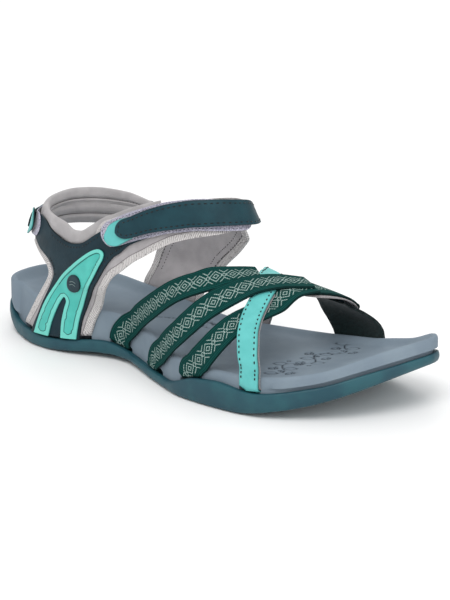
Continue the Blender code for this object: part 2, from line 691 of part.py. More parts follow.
# ---- the forefoot ----------------------------------------------------------------------

REAR_WEB = rooted(-1, 92.5) + [
    (3, 106), (14, 118), (24, 128), (44, 144), (61, 156), (75, 165), (90, 172)]
MIDDLE_WEB = rooted(-1, 126) + [
    (0, 138), (14, 150), (27, 158), (40, 164), (51, 169), (62, 174), (77, 179), (90, 184), (101, 189)]
FRONT_WEB = rooted(-1, 161) + [
    (0, 167), (11, 173), (28, 179), (43, 183), (55, 186.5), (70, 190), (86, 191.5), (101, 193)]
CROSS = rooted(-1, 201) + [
    (8, 201), (25, 198), (41, 193), (59, 188), (72, 185), (84, 181), (96, 174), (112, 167),
    (135, 158), (160, 150), (174, 145)] + rooted(1, 142)
TAB = [(106.5, 192), (120, 192), (135, 191), (152, 190), (164, 193)]
ANCHOR = [(151, 189.5), (158, 191.5), (168, 196)] + rooted(1, 200)


def forefoot(finishes):
    web = finishes["web"]
    web_rows, anchor_rows = 4, 6
    ribbon("webbing_rear", fore, REAR_WEB, 14.0, 0, WEB, web,
           lift=[(0, 0), (30, 0.2), (62, 2.3), (76, 4.2), (95, 4.2)], rows=web_rows)
    ribbon("webbing_middle", fore, MIDDLE_WEB, 14.0, 0, WEB, web,
           lift=[(0, 0), (20, 0.2), (45, 1.8), (62, 4.1), (76, 5.9), (92, 5.9), (101, 4.2)], rows=web_rows)
    ribbon("webbing_front", fore, FRONT_WEB, 14.0, 0, WEB, web, lift=[(80, 0), (102, 1.6)],
           rows=web_rows)
    cross_lift = [(5, 0), (22, 1.8), (90, 1.8), (104, 0)]
    backing, leather = 0.6, 1.0
    ribbon("cross_strap_lining", fore, CROSS, 11.5, 0, backing, finishes["lining"], lift=cross_lift,
           rows=web_rows)
    ribbon("cross_strap", fore, CROSS, 11.0, backing + SKIN, leather, finishes["mint"],
           lift=cross_lift, rows=web_rows)
    anchor_width = [(0, 27), (0.5, 29), (1, 29)]
    anchor_lining, pad, tab_lining = 0.7, 0.5, 0.6
    off = 0.0
    ribbon("forefoot_anchor_lining", fore, ANCHOR, anchor_width, off, anchor_lining,
           finishes["dark"], rows=anchor_rows, longest=2.0)
    off += anchor_lining + ANCHOR_GAP
    ribbon("forefoot_anchor", fore, ANCHOR, anchor_width, off, leather, finishes["teal"],
           rows=anchor_rows, longest=2.0)
    off += leather + ANCHOR_GAP
    ribbon("forefoot_hook_pad", fore, [(153, 190), (158, 191.5), (162, 193)], 18, off, pad, finishes["hook"],
           rows=web_rows)
    off += pad + SKIN
    ribbon("forefoot_tab_lining", fore, TAB, [(0, 19), (1, 23)], off, tab_lining, finishes["lining"],
           round_ends=(0, 3), rows=web_rows)
    off += tab_lining + SKIN
    ribbon("forefoot_tab", fore, TAB, [(0, 19), (1, 23)], off, WEB, web, round_ends=(0, 3),
           rows=web_rows)


def landing_slots():
    """Name, side, start, end and stack height of each pocket in the footbed."""
    return [("lateral_quarter", -1, 18, 82, REAR_STACK), ("medial_quarter", 1, 54, 114, REAR_STACK),
            ("webbing_rear", -1, 82, 104, FORE_STACK), ("webbing_middle", -1, 115, 138, FORE_STACK),
            ("webbing_front", -1, 150, 172, FORE_STACK), ("cross_outer", -1, 193, 209, FORE_STACK),
            ("cross_inner", 1, 133, 151, FORE_STACK), ("anchor", 1, 182, 218, FORE_STACK)]


def centre_on_floor():
    """Moves every piece so that the origin is under the middle of the whole sandal's box."""
    corners = [vertex.co for item in parts.objects for vertex in item.data.vertices]
    low = [min(corner[k] for corner in corners) for k in range(3)]
    high = [max(corner[k] for corner in corners) for k in range(3)]
    shift = Vector((-(low[0] + high[0]) / 2, -(low[1] + high[1]) / 2, 0.0))
    for item in list(parts.objects) + list(cutters.objects):
        item.data.transform(Matrix.Translation(shift))
    return shift


def fold_place(chart, route):
    """A point on a closing strap's fold line, on the quarter just past the strap's sewn end."""
    before, end = (chart(a, b, REAR_STACK + FOLD_RISE) for a, b in route[-2:])
    return end + (end - before).normalized() * FOLD_SETBACK


def hinge(name, place, shift, pieces):
    """An empty on a fold line, with the pieces that turn about it as its children."""
    empty = bpy.data.objects.new(name, None)
    empty.empty_display_size = 0.01
    empty.location = place * MM + shift
    parts.objects.link(empty)
    for piece in pieces:
        bpy.data.objects[piece].parent = empty
        bpy.data.objects[piece].matrix_parent_inverse = Matrix.Translation(-empty.location)


def build():
    global parts, cutters, SHIFT
    clear_scene()
    parts = bpy.data.collections.new("sport_sandal")
    cutters = bpy.data.collections.new("cutters")
    bpy.context.scene.collection.children.link(parts)
    bpy.context.scene.collection.children.link(cutters)
    finishes = {
        "rubber": material("outsole rubber", (33, 78, 88), 0.6),
        "foam_grey": material("footbed foam", (122, 136, 147), 0.75),
        "teal": material("dark teal coated fabric", (40, 66, 74), 0.55),
        "mint": material("mint synthetic leather", (98, 190, 182), 0.5),
        "lining": material("grey lining", (164, 162, 164), 0.9),
        "foam": material("white padding foam", (225, 222, 210), 0.95),
        "loop": material("pale loop tape", (182, 182, 196), 0.95),
        "hook": material("dark hook tape", (30, 38, 42), 0.7),
        "dark": material("dark backing", (26, 44, 46), 0.9),
        "web": material("patterned woven strap", (28, 84, 82), 0.85)}
    outsole(finishes["rubber"])
    footbed(finishes["foam_grey"], landing_slots())
    rear_upper(finishes)
    rear_straps(finishes)
    forefoot(finishes)
    SHIFT = centre_on_floor()
    hinge("instep_strap_hinge", fold_place(wrapped_rear, INSTEP_ROUTE), SHIFT,
          ["instep_strap_base", "instep_strap_top", "instep_hook_pad"])
    hinge("heel_strap_hinge", fold_place(rear, HEEL_ROUTE), SHIFT,
          ["heel_strap_base", "heel_strap_top", "heel_hook_pad"])
    hinge("forefoot_tab_hinge", fore(*TAB_FOLD), SHIFT,
          ["forefoot_tab", "forefoot_tab_lining", "forefoot_hook_pad"])


build()
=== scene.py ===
"""The looks of a women's strappy sport sandal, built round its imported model.

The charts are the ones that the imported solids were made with, and most routes are too, so each
piece here lies in or near the space that its solid holds.  The quarter, the overlay, the collar,
the forefoot tab and its anchor have outlines of their own, a few millimetres from the solids'.
Sizes are in millimetres, and MM turns them into metres where a mesh is made.  "Back" distances
run from the heel towards the toe.
"""
import math

import bmesh
import bpy
import numpy as np
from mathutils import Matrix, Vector, geometry


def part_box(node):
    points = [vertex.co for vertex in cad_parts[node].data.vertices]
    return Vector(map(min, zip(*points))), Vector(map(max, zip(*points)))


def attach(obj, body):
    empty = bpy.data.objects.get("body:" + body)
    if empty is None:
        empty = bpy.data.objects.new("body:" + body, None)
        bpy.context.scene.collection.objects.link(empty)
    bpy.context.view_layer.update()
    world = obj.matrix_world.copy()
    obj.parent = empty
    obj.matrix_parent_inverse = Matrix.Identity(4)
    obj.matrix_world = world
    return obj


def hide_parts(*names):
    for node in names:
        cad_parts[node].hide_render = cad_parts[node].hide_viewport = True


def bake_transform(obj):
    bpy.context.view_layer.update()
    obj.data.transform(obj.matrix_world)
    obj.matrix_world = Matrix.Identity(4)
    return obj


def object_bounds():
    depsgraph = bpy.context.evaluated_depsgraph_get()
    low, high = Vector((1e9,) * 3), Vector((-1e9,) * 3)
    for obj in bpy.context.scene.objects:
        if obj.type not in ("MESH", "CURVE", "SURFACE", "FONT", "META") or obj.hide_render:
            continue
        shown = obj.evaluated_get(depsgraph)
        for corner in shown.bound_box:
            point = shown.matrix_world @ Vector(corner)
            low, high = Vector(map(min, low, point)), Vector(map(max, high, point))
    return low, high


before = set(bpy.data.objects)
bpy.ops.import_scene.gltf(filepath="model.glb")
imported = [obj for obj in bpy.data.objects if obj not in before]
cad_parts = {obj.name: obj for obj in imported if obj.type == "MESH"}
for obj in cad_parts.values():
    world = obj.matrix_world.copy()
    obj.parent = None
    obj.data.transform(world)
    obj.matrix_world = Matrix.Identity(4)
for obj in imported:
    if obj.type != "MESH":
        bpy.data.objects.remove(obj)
CAD_LOW, CAD_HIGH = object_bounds()

MM = 0.001
LENGTH = 264.0          # heel to toe of the outsole
GAP = 0.3               # clearance between hard pieces
SKIN = 0.2              # clearance between bent layers, closer than between the solids
WALL_GAP = 0.5          # clearance between the footbed's side and a strap on it
SHEET = 1.0             # coated fabric and leather layers
WEB = 1.2               # woven strap
LINING = 1.6            # padded lining
OVERLAY = 1.0           # the moulded overlay
SOLE_PLATE = 3.0        # outsole thickness under the footbed
FOOTBED_SETBACK = 3.5   # footbed side, measured in from the outsole's edge
RIM_WIDTH = 6.0         # raised footbed rim
TUCK = 7.0              # strap margin that lies inside the sole
TUCK_BEND = 0.7         # bend radius where a strap turns into the sole
FLOOR_INSET = 9.0       # inner ring of the floor between outsole and footbed
REAR_STACK = LINING + SKIN + SHEET    # all layers of a quarter
WEB_STACK = 1.3         # a woven forefoot strap
CROSS_STACK = 2.0       # the smooth strap and its backing
ANCHOR_STACK = 2.0      # the anchor under the forefoot tab
FULLNESS = 2.3          # squareness of the ankle's sections, 2 is an ellipse
FORE_FULLNESS = 2.1     # squareness of the forefoot's sections
SECOND = LINING + SKIN                # inner face of the quarters
THIRD = SECOND + SHEET + SKIN         # inner face of what is sewn on the quarters
TAPE = 0.6                            # hook and loop tapes
HOOK = THIRD + TAPE + SKIN
BASE = HOOK + TAPE + SKIN             # inner face of the closing straps
TOP = BASE + SHEET + SKIN


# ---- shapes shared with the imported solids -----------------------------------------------

def clamp(value, low, high):
    return max(low, min(high, value))


def ease(low, high, value):
    """0 below low, 1 above high, and smooth between them."""
    t = clamp((value - low) / (high - low), 0.0, 1.0)
    return t * t * (3 - 2 * t)


def curve_through(knots, samples=3000):
    """A smooth function through (position, value) pairs that never overshoots them."""
    spots = [float(knot[0]) for knot in knots]
    values = [float(knot[1]) for knot in knots]
    count = len(spots)
    rises = [(values[i + 1] - values[i]) / (spots[i + 1] - spots[i]) for i in range(count - 1)]
    slopes = [rises[0]]
    for before, after in zip(rises, rises[1:]):
        turning = before * after <= 0
        slopes.append(0.0 if turning else 2 * before * after / (before + after))
    slopes.append(rises[-1])
    table = []
    i = 0
    for k in range(samples + 2):
        spot = min(spots[0] + (spots[-1] - spots[0]) * k / samples, spots[-1])
        while i < count - 2 and spot > spots[i + 1]:
            i += 1
        span = spots[i + 1] - spots[i]
        t = (spot - spots[i]) / span
        start = values[i] * (1 + 2 * t) + slopes[i] * span * t
        end = values[i + 1] * (3 - 2 * t) - slopes[i + 1] * span * (1 - t)
        table.append(start * (1 - t) ** 2 + end * t * t)
    scale = samples / (spots[-1] - spots[0])
    first = spots[0]

    def at(spot):
        step = (spot - first) * scale
        step = 0.0 if step < 0 else samples if step > samples else step
        k = int(step)
        return table[k] + (table[k + 1] - table[k]) * (step - k)
    return at


# ---- the sole's outline and heights, by distance from the heel --------------------------

OUTER_EDGE = curve_through([
    (0, 0), (0.6, 8), (3.7, 17), (9.5, 22), (20, 27.8), (31, 33.4), (40, 36.2), (51, 37.2),
    (62, 36.2), (72, 33.4), (81, 30.3), (90, 28.2), (98, 28.4), (106, 31), (114, 34.6),
    (122, 38.6), (130, 42.4), (138, 46), (146, 49.6), (153, 52.2), (162, 53.8), (178, 54.8),
    (192, 54.6), (204, 53.4), (214, 50), (224, 44.5), (236, 36), (248, 23.5), (257, 8),
    (262, -6), (264, -15)])
INNER_EDGE = curve_through([
    (0, 0), (0.8, 8), (5, 16.5), (11, 24), (19, 29), (41, 31.3), (66, 29.1), (96, 26.2),
    (126, 25.6), (156, 34.5), (184, 39.8), (206, 43.6), (231, 41.7), (247, 36.5), (256, 30),
    (262, 22), (264, 15)])
LIP_SETBACK = curve_through([
    (0, 0.9), (11, 1.1), (17, 3.3), (30, FOOTBED_SETBACK), (208, FOOTBED_SETBACK), (224, 1.2), (264, 0.9)])
UNDERSIDE = curve_through([
    (0, 11), (8, 4), (19, 0), (46, 0), (80, 2.2), (105, 1.2), (125, 0), (190, 0), (216, 4),
    (236, 10), (264, 23.5)])
BAND_TOP = curve_through([
    (0, 17.4), (21, 6.8), (51, 6.6), (81, 9), (108, 5), (141, 4.5), (166, 12), (181, 13.5),
    (201, 11.7), (231, 16.8), (250, 23.6), (261, 27.4), (264, 28.2)])
RIM_TOP = curve_through([
    (0, 28.8), (31, 27.7), (81, 25), (121, 20.7), (161, 18.2), (201, 19.4), (231, 24.3),
    (255, 34.2), (264, 36.6)])
DISH_DEPTH = curve_through([(0, 5.5), (60, 5), (110, 3), (160, 2.5), (220, 3.5), (264, 4)])

# ---- the foot's shape, which the straps follow ----------------------------------------

HEEL_BACK = curve_through([(0, 3), (30, 8), (50, 14), (60, 18), (70, 21), (80, 22), (110, 24)])
INSTEP = curve_through([(0, 193), (60, 180), (68, 167), (75, 157.5), (80, 153.5), (92, 148), (110, 139)])
ANKLE_OUTER = curve_through([(0, 34.5), (30, 36), (50, 35.5), (70, 32.5), (90, 29), (110, 27)])
ANKLE_INNER = curve_through([(0, 31), (30, 32.5), (50, 32), (70, 30), (90, 27), (110, 25)])
FOOT_BASE = curve_through([(60, 24), (100, 22), (130, 20), (200, 20), (220, 23), (240, 28), (264, 35)])
FOOT_CREST = curve_through([
    (60, 90), (100, 78), (120, 71), (140, 64), (160, 57), (180, 50.3), (200, 45), (220, 40),
    (240, 38)])


def wall(side, back, off):
    """Sideways place of a strap on the footbed's side: side is -1 outer, 1 inner."""
    edge = OUTER_EDGE(back) if side < 0 else INNER_EDGE(back)
    return side * (edge - FOOTBED_SETBACK + WALL_GAP + off)


def straight_drop(back, top, stack):
    """How far a strap runs straight down from the height top before it turns in."""
    return max(top - BAND_TOP(back) - GAP - stack - TUCK_BEND, 0.0)


def bend_length(stack):
    return (TUCK_BEND + stack / 2) * math.pi / 2


def rooted(side, back, stack):
    """The first knots of a forefoot strap: its end inside the sole, and its bend."""
    drop = straight_drop(back, FOOT_BASE(back), stack)
    bend = drop + bend_length(stack)
    if side < 0:
        return [(-bend - TUCK, back), (-bend, back), (-drop, back)]
    return [(180 + drop, back), (180 + bend, back), (180 + bend + TUCK, back)]


def tuck(side, back, below, off, top, stack):
    """A strap's way down the footbed's side from the height top and on into the sole."""
    slot = BAND_TOP(back) + GAP + stack
    straight = straight_drop(back, top, stack)
    if below <= straight:
        return wall(side, back, off), top - below
    arc = bend_length(stack)
    turn = clamp((below - straight) / arc, 0.0, 1.0) * math.pi / 2
    radius = TUCK_BEND + off
    x = wall(side, back, -TUCK_BEND) + side * radius * math.cos(turn)
    z = slot + TUCK_BEND - radius * math.sin(turn)
    beyond = max(below - straight - arc, 0.0)
    return x - side * beyond, z


def rear(angle, height, off=0.0, stack=REAR_STACK):
    """A point on the ankle: angle 0 heel, 90 outer side, -90 inner side, 180 instep.

    off counts from the inner face of the lining; a low height runs on into the sole.
    """
    cosine = math.cos(math.radians(angle))
    sine = math.sin(math.radians(angle))
    side = -1 if sine >= 0 else 1
    level = max(height, 0.0)
    proud = off - LINING - SKIN
    back_end = HEEL_BACK(level)
    front_end = INSTEP(level)
    reach = (front_end - back_end) / 2 + proud
    width = (ANKLE_OUTER(level) if side < 0 else ANKLE_INNER(level)) + proud
    back = (front_end + back_end) / 2 - reach * math.copysign(abs(cosine) ** (2 / FULLNESS), cosine)
    x = side * width * abs(sine) ** (2 / FULLNESS)
    foot_top = 42.0
    if height < foot_top and 0 < back < LENGTH:
        low_x, low_z = tuck(side, back, foot_top - height, off, foot_top, stack)
        share = ease(24, foot_top, height)
        return Vector((low_x + (x - low_x) * share, LENGTH / 2 - back, low_z))
    return Vector((x, LENGTH / 2 - back, height))


def fore(angle, back, off=0.0, stack=2.0):
    """A point on the forefoot: angle 0 outer side, 90 crest, 180 inner side.

    Below 0 and above 180 the angle counts millimetres down the side and into the sole.
    """
    outer, inner = wall(-1, back, 0.0), wall(1, back, 0.0)
    base = FOOT_BASE(back)
    if angle < 0 or angle > 180:
        side = -1 if angle < 0 else 1
        below = -angle if angle < 0 else angle - 180
        x, z = tuck(side, back, below, off, base, stack)
        return Vector((x, LENGTH / 2 - back, z))
    cosine = math.cos(math.radians(angle))
    sine = max(math.sin(math.radians(angle)), 0.0)
    half = (inner - outer) / 2 + off
    rise = FOOT_CREST(back) - base + off
    x = (inner + outer) / 2 - half * math.copysign(abs(cosine) ** (2 / FORE_FULLNESS), cosine)
    z = base + rise * sine ** (2 / FORE_FULLNESS)
    return Vector((x, LENGTH / 2 - back, z))


def straight_rear(angle, height, off=0.0):
    """The ankle chart for sheets that run straight down to the outsole's edge."""
    return rear(angle, height, off, -TUCK_BEND)


def web_fore(angle, back, off=0.0):
    return fore(angle, back, off, WEB_STACK)


def wrapped_rear(angle, height, off=0.0):
    """The ankle chart, with the angle running on past 180 on to the inner side."""
    return rear(angle if angle <= 180 else angle - 360, height, off)


def closed_curve(points, steps=2):
    """A smooth closed outline through given points; a point given twice is a corner."""
    outline = []
    count = len(points)
    for i in range(count):
        before, start, end, after = (Vector(points[(i + k) % count]) for k in (-1, 0, 1, 2))
        if (end - start).length < 1e-6:
            continue
        leave = (end - before) / 2 if (start - before).length > 1e-6 else (end - start) / 2
        arrive = (after - start) / 2 if (after - end).length > 1e-6 else (end - start) / 2
        for step in range(steps):
            t = step / steps
            outline.append(start * (2 * t ** 3 - 3 * t ** 2 + 1) + leave * (t ** 3 - 2 * t ** 2 + t)
                           + end * (3 * t ** 2 - 2 * t ** 3) + arrive * (t ** 3 - t ** 2))
    return outline


def walk(chart, a, b, direction, distance):
    """The chart place reached by going a distance over the surface in a direction."""
    pieces = 3
    probe = 0.05
    for _ in range(pieces):
        along_a = (chart(a + probe, b) - chart(a - probe, b)) / (2 * probe)
        along_b = (chart(a, b + probe) - chart(a, b - probe)) / (2 * probe)
        step = direction * (distance / pieces)
        aa, bb, ab = along_a.dot(along_a), along_b.dot(along_b), along_a.dot(along_b)
        sa, sb = step.dot(along_a), step.dot(along_b)
        size = max(aa * bb - ab * ab, 1e-6)
        a += (sa * bb - sb * ab) / size
        b += (sb * aa - sa * ab) / size
    return a, b


def route_functions(chart, knots):
    """The chart's two places as functions of the share of a route's length."""
    points = [chart(a, b) for a, b in knots]
    run = [0.0]
    for start, end in zip(points, points[1:]):
        run.append(run[-1] + (end - start).length)
    shares = [distance / run[-1] for distance in run]
    a_at = curve_through([(share, a) for share, (a, _) in zip(shares, knots)])
    b_at = curve_through([(share, b) for share, (_, b) in zip(shares, knots)])
    return a_at, b_at, run[-1]


def stations_along(chart, a_at, b_at, longest, sharpest=13.0):
    """Shares of a route's length, close together where the route bends."""
    fine = 240
    centre = [chart(a_at(i / fine), b_at(i / fine)) for i in range(fine + 1)]
    shares = [0.0]
    run = turned = 0.0
    for i in range(1, fine):
        before = centre[i] - centre[i - 1]
        after = centre[i + 1] - centre[i]
        run += before.length
        if before.length > 1e-6 and after.length > 1e-6:
            turned += math.degrees(before.angle(after))
        if run >= longest or turned >= sharpest:
            shares.append(i / fine)
            run = turned = 0.0
    return shares + [1.0]


QUARTER_OUTLINE = [
    (52.6, 7.2), (52.6, 7.2), (55, 13.5), (57.8, 21), (60.2, 29), (61.2, 36), (61.2, 41), (59, 45.3),
    (54, 48.6), (46, 51.4), (38, 54.5), (31, 56), (31, 56), (31, 67), (31, 67), (38, 68), (46, 66.5),
    (52, 63.6), (61, 60.9), (68, 59.8), (74, 61.4), (80, 65.3), (88, 71.1), (96, 77), (106, 82),
    (118, 86), (132, 88.7), (150, 90), (164, 89.5), (176, 88.3), (185, 87), (185, 87), (185, 79),
    (185, 79), (176, 79.5), (164, 79.5), (145, 79), (128, 77), (112, 73), (101, 68.5), (94, 64.5),
    (89.4, 59), (86.2, 51), (83.8, 43.5), (80.8, 35), (78.2, 27), (76.6, 19), (76, 12), (75.9, 8.6),
    (75.9, 8.6)]
QUARTER_LINING_OUTLINE = [
    (40, -1), (40, -1), (43.5, 9), (48.6, 16.7), (53, 24.4), (55.3, 31.5), (56.4, 38), (55, 42),
    (51, 45), (45, 47.6), (37, 50.4), (30, 52), (30, 52), (30, 54.3), (30, 54.3), (45, 57),
    (58, 59), (66, 57.3),
    (72, 58.3), (78, 61), (81.5, 65), (84, 70), (89, 75.5), (95, 79), (106, 84), (117, 87.8),
    (133, 90.6), (151, 91.9), (168, 91), (178, 89.4), (186, 87.2), (188, 83.5), (185, 79), (176, 77.8),
    (166, 76.6), (144, 74.8),
    (133, 73.4), (121, 70.8), (112, 67.5), (103, 63.5), (96, 58.5), (91, 51.5), (88, 45.5),
    (86, 38.8), (83, 30.5), (80, 20), (78.5, 9.7), (78, -1), (78, -1)]
OVERLAY_OUTLINE = [
    (56.4, 7.7), (56.4, 7.7), (58.7, 16.5), (61.4, 25), (64.2, 34), (67.5, 42), (72, 48.7), (77, 55.3),
    (80.5, 59.2), (83.6, 61.1), (85.6, 60), (85.9, 57), (84.5, 51.5), (82.5, 44.5), (80.2, 37),
    (78, 29.5), (76.5, 21.5), (75.7, 13.5), (75.4, 8.8), (75.4, 8.8), (69.9, 8.4), (69.9, 8.4), (70.1, 17),
    (71, 24.8), (71.6, 29), (70.6, 31.2), (69.2, 29), (67.3, 22.7), (65.5, 15.5), (64.2, 8), (64.2, 8)]
MEDIAL_OUTLINE = [
    (-72, -1), (-72, -1), (-73, 15), (-74, 26.5), (-76, 35), (-76, 43), (-74, 50), (-68, 56),
    (-62, 58), (-62, 58), (-62, 73), (-62, 73), (-76, 70), (-86, 71.5), (-96, 75), (-110, 79),
    (-130, 83), (-150, 85.3), (-164, 86), (-164, 86), (-164, 78.5), (-164, 78.5), (-152, 76.8),
    (-138, 75.2), (-127, 73.2), (-119.5, 69.5), (-114, 65), (-109, 59.5), (-104, 53), (-99, 46),
    (-95, 39), (-92, 30), (-90, 15), (-90, -1), (-90, -1)]
MEDIAL_LINING_OUTLINE = [
    (-68, -1), (-68, -1), (-69, 15), (-70, 26.5), (-72, 34.5), (-73, 43), (-75, 51), (-77, 57),
    (-77, 57), (-77, 71), (-77, 71), (-85, 72), (-96, 76.3), (-110, 80.5), (-130, 84.5), (-150, 86.8),
    (-163, 87.5), (-167, 85.5), (-167, 79.5), (-163, 77.3), (-152, 75.3), (-139, 73.6), (-128, 71.4),
    (-121, 67.8), (-116, 63.3), (-111, 57.8), (-106.5, 52), (-101, 45),
    (-97, 38), (-94.5, 30), (-93, 15), (-93, -1), (-93, -1)]
COLLAR_TOP = curve_through([
    (-75, 71), (-60, 75), (-40, 76), (-20, 75.5), (0, 74), (20, 72), (40, 70), (58, 68.5),
    (66, 66), (72, 66.7), (80, 71.2), (88, 76.8), (97, 82), (108, 86.6), (120, 90)])
COLLAR_BOTTOM = curve_through([
    (-75, 58), (-40, 56), (0, 55), (30, 55.5), (45, 58), (58, 60), (66, 58.5), (72, 59.5),
    (80, 65), (88, 71), (97, 76.5), (108, 81), (120, 84.5)])
COLLAR_START, COLLAR_END = -75.0, 120.0
COLLAR_INNER, COLLAR_OUTER = -3.6, LINING
HEEL_ROUTE = [(23, 61), (10, 61), (0, 62), (-20, 64), (-40, 65), (-70, 64)]
INSTEP_ROUTE = [(104, 76.8), (113.5, 80.8), (127, 84.5), (141.5, 86.6), (157, 87), (174, 86), (185, 84.4),
                (196, 82.8), (206, 81.3), (214, 80.2)]

REAR_WEB = rooted(-1, 92.5, WEB_STACK) + [
    (3, 106), (14, 118), (24, 128), (44, 144), (61, 156), (75, 165), (90, 172)]
MIDDLE_WEB = rooted(-1, 126, WEB_STACK) + [
    (0, 138), (14, 150), (27, 158), (40, 164), (51, 169), (62, 174), (77, 179), (90, 184), (101, 189)]
FRONT_WEB = rooted(-1, 161, WEB_STACK) + [
    (0, 167), (11, 173), (28, 179), (43, 183), (55, 186.5), (70, 190), (86, 191.5), (105, 193)]
CROSS = rooted(-1, 201, CROSS_STACK) + [
    (8, 201), (25, 198), (41, 193), (59, 188), (72, 185), (84, 181), (96, 174), (112, 167),
    (135, 158), (160, 150), (174, 145)] + rooted(1, 142, CROSS_STACK)
TAB = [(106.5, 192), (120, 192), (135, 191), (152, 190), (164, 193)]
ANCHOR = [(151, 189.5), (158, 191.5), (168, 196)] + rooted(1, 200, ANCHOR_STACK)


# ---- materials ----------------------------------------------------------------------------

def linear(colour):
    """A linear colour from sRGB in 0-255 steps."""
    return [(step / 255) ** 2.2 for step in colour]


class Finish:
    """A Principled material, with short names for the nodes that shape it."""

    def __init__(self, name, roughness, specular=0.35, sheen=0.0):
        self.material = bpy.data.materials.new(name)
        self.material.use_nodes = True
        self.tree = self.material.node_tree
        self.shader = self.tree.nodes["Principled BSDF"]
        self.shader.inputs["Roughness"].default_value = roughness
        self.shader.inputs["Specular IOR Level"].default_value = specular
        self.shader.inputs["Sheen Weight"].default_value = sheen
        self.shader.inputs["Sheen Roughness"].default_value = 0.5
        self.places = self.tree.nodes.new("ShaderNodeTexCoord").outputs["Object"]

    def feed(self, socket, value):
        if isinstance(value, bpy.types.NodeSocket):
            self.tree.links.new(value, socket)
        elif isinstance(value, (list, tuple)):
            socket.default_value = (*value, 1.0)
        else:
            socket.default_value = value

    def math(self, operation, *values):
        node = self.tree.nodes.new("ShaderNodeMath")
        node.operation = operation
        for socket, value in zip(node.inputs, values):
            self.feed(socket, value)
        return node.outputs[0]

    def attribute(self, name):
        node = self.tree.nodes.new("ShaderNodeAttribute")
        node.attribute_name = name
        return node.outputs["Fac"]

    def noise(self, size, detail=2.0):
        """Noise with a grain of about size millimetres."""
        node = self.tree.nodes.new("ShaderNodeTexNoise")
        node.inputs["Scale"].default_value = 1 / (size * MM)
        node.inputs["Detail"].default_value = detail
        self.tree.links.new(self.places, node.inputs["Vector"])
        return node.outputs["Fac"]

    def cells(self, size):
        """Distance to the middle of cells of about size millimetres."""
        node = self.tree.nodes.new("ShaderNodeTexVoronoi")
        node.inputs["Scale"].default_value = 1 / (size * MM)
        self.tree.links.new(self.places, node.inputs["Vector"])
        return node.outputs["Distance"]

    def step(self, low, high, value):
        """0 where value is below low, 1 above high, smooth between."""
        node = self.tree.nodes.new("ShaderNodeMapRange")
        node.interpolation_type = "SMOOTHSTEP"
        self.feed(node.inputs["Value"], value)
        node.inputs["From Min"].default_value = low
        node.inputs["From Max"].default_value = high
        return node.outputs["Result"]

    def band(self, middle, half, soft, value):
        """1 within half of middle, falling to 0 over soft."""
        away = self.math("ABSOLUTE", self.math("SUBTRACT", value, middle))
        return self.math("SUBTRACT", 1.0, self.step(half, half + soft, away))

    def wave(self, period, value, phase=0.0):
        """A wave between 0 and 1 along value, in millimetres."""
        turn = self.math("MULTIPLY_ADD", value, 2 * math.pi / period, phase)
        return self.math("MULTIPLY_ADD", self.math("SINE", turn), 0.5, 0.5)

    def mix(self, share, low, high):
        node = self.tree.nodes.new("ShaderNodeMix")
        node.data_type = "RGBA"
        self.feed(node.inputs[0], share)
        self.feed(node.inputs[6], low)
        self.feed(node.inputs[7], high)
        return node.outputs[2]

    def finish(self, colour, height=None, depth=0.2, rough=None):
        """Sets the colour, the bump of depth millimetres, and the roughness where it varies."""
        self.feed(self.shader.inputs["Base Color"], colour)
        if height is not None:
            node = self.tree.nodes.new("ShaderNodeBump")
            node.inputs["Strength"].default_value = 1.0
            node.inputs["Distance"].default_value = depth * MM
            self.feed(node.inputs["Height"], height)
            self.tree.links.new(node.outputs["Normal"], self.shader.inputs["Normal"])
        if rough is not None:
            self.feed(self.shader.inputs["Roughness"], rough)
        return self.material


def rubber_finish():
    made = Finish("outsole_rubber", 0.5, 0.4)
    cloudy = made.step(0.35, 0.7, made.noise(14.0, 3.0))
    colour = made.mix(cloudy, linear((30, 70, 82)), linear((38, 84, 93)))
    grain = made.noise(0.5)
    rough = made.math("MULTIPLY_ADD", made.noise(5.0), 0.2, 0.4)
    return made.finish(colour, grain, 0.05, rough)


def footbed_finish():
    made = Finish("footbed_foam", 0.8, 0.25)
    cloudy = made.step(0.3, 0.75, made.noise(20.0, 3.0))
    colour = made.mix(cloudy, linear((116, 130, 142)), linear((126, 140, 151)))
    # painted shade: the pressed lines' groove share darkens them to a dark grey-blue
    groove = made.attribute("groove")
    colour = made.mix(groove, colour, linear((52, 60, 68)))
    speckle = made.math("ADD", made.noise(0.35), made.math("MULTIPLY", made.cells(0.8), 0.6))
    return made.finish(colour, speckle, 0.06, made.math("MULTIPLY_ADD", made.noise(3.0), 0.15, 0.7))


def coated_finish(name, colour, low, edge_and_shade_colour, rough=0.5):
    """Coated fabric or synthetic leather: fine pebbles, an underside and lower cut edge in the dark edge
    colour, partly its real darker cut edge and partly painted shade, and painted shade along the rounded
    margins.
    """
    made = Finish(name, rough, 0.25)
    cloudy = made.step(0.3, 0.7, made.noise(9.0, 3.0))
    shade = made.mix(cloudy, linear(low), linear(colour))
    edge = made.attribute("edge")
    # painted shade along the rounded margin of the top face
    margin = made.math("SUBTRACT", 1.0, made.step(0.15, 0.75, edge))
    # the underside and lower half of the cut edge: partly the real darker cut edge, partly painted shade
    # under the sheet
    side = made.math("SUBTRACT", 1.0, made.step(0.45, 0.8, made.attribute("depth")))
    shade = made.mix(made.math("MAXIMUM", made.math("MULTIPLY", margin, 0.35), side), shade,
                     linear(edge_and_shade_colour))
    pebbles = made.math("ADD", made.cells(0.55), made.math("MULTIPLY", made.noise(0.25), 0.6))
    roughness = made.math("MULTIPLY_ADD", made.noise(4.0), 0.18, rough - 0.09)
    return made.finish(shade, pebbles, 0.07, roughness)


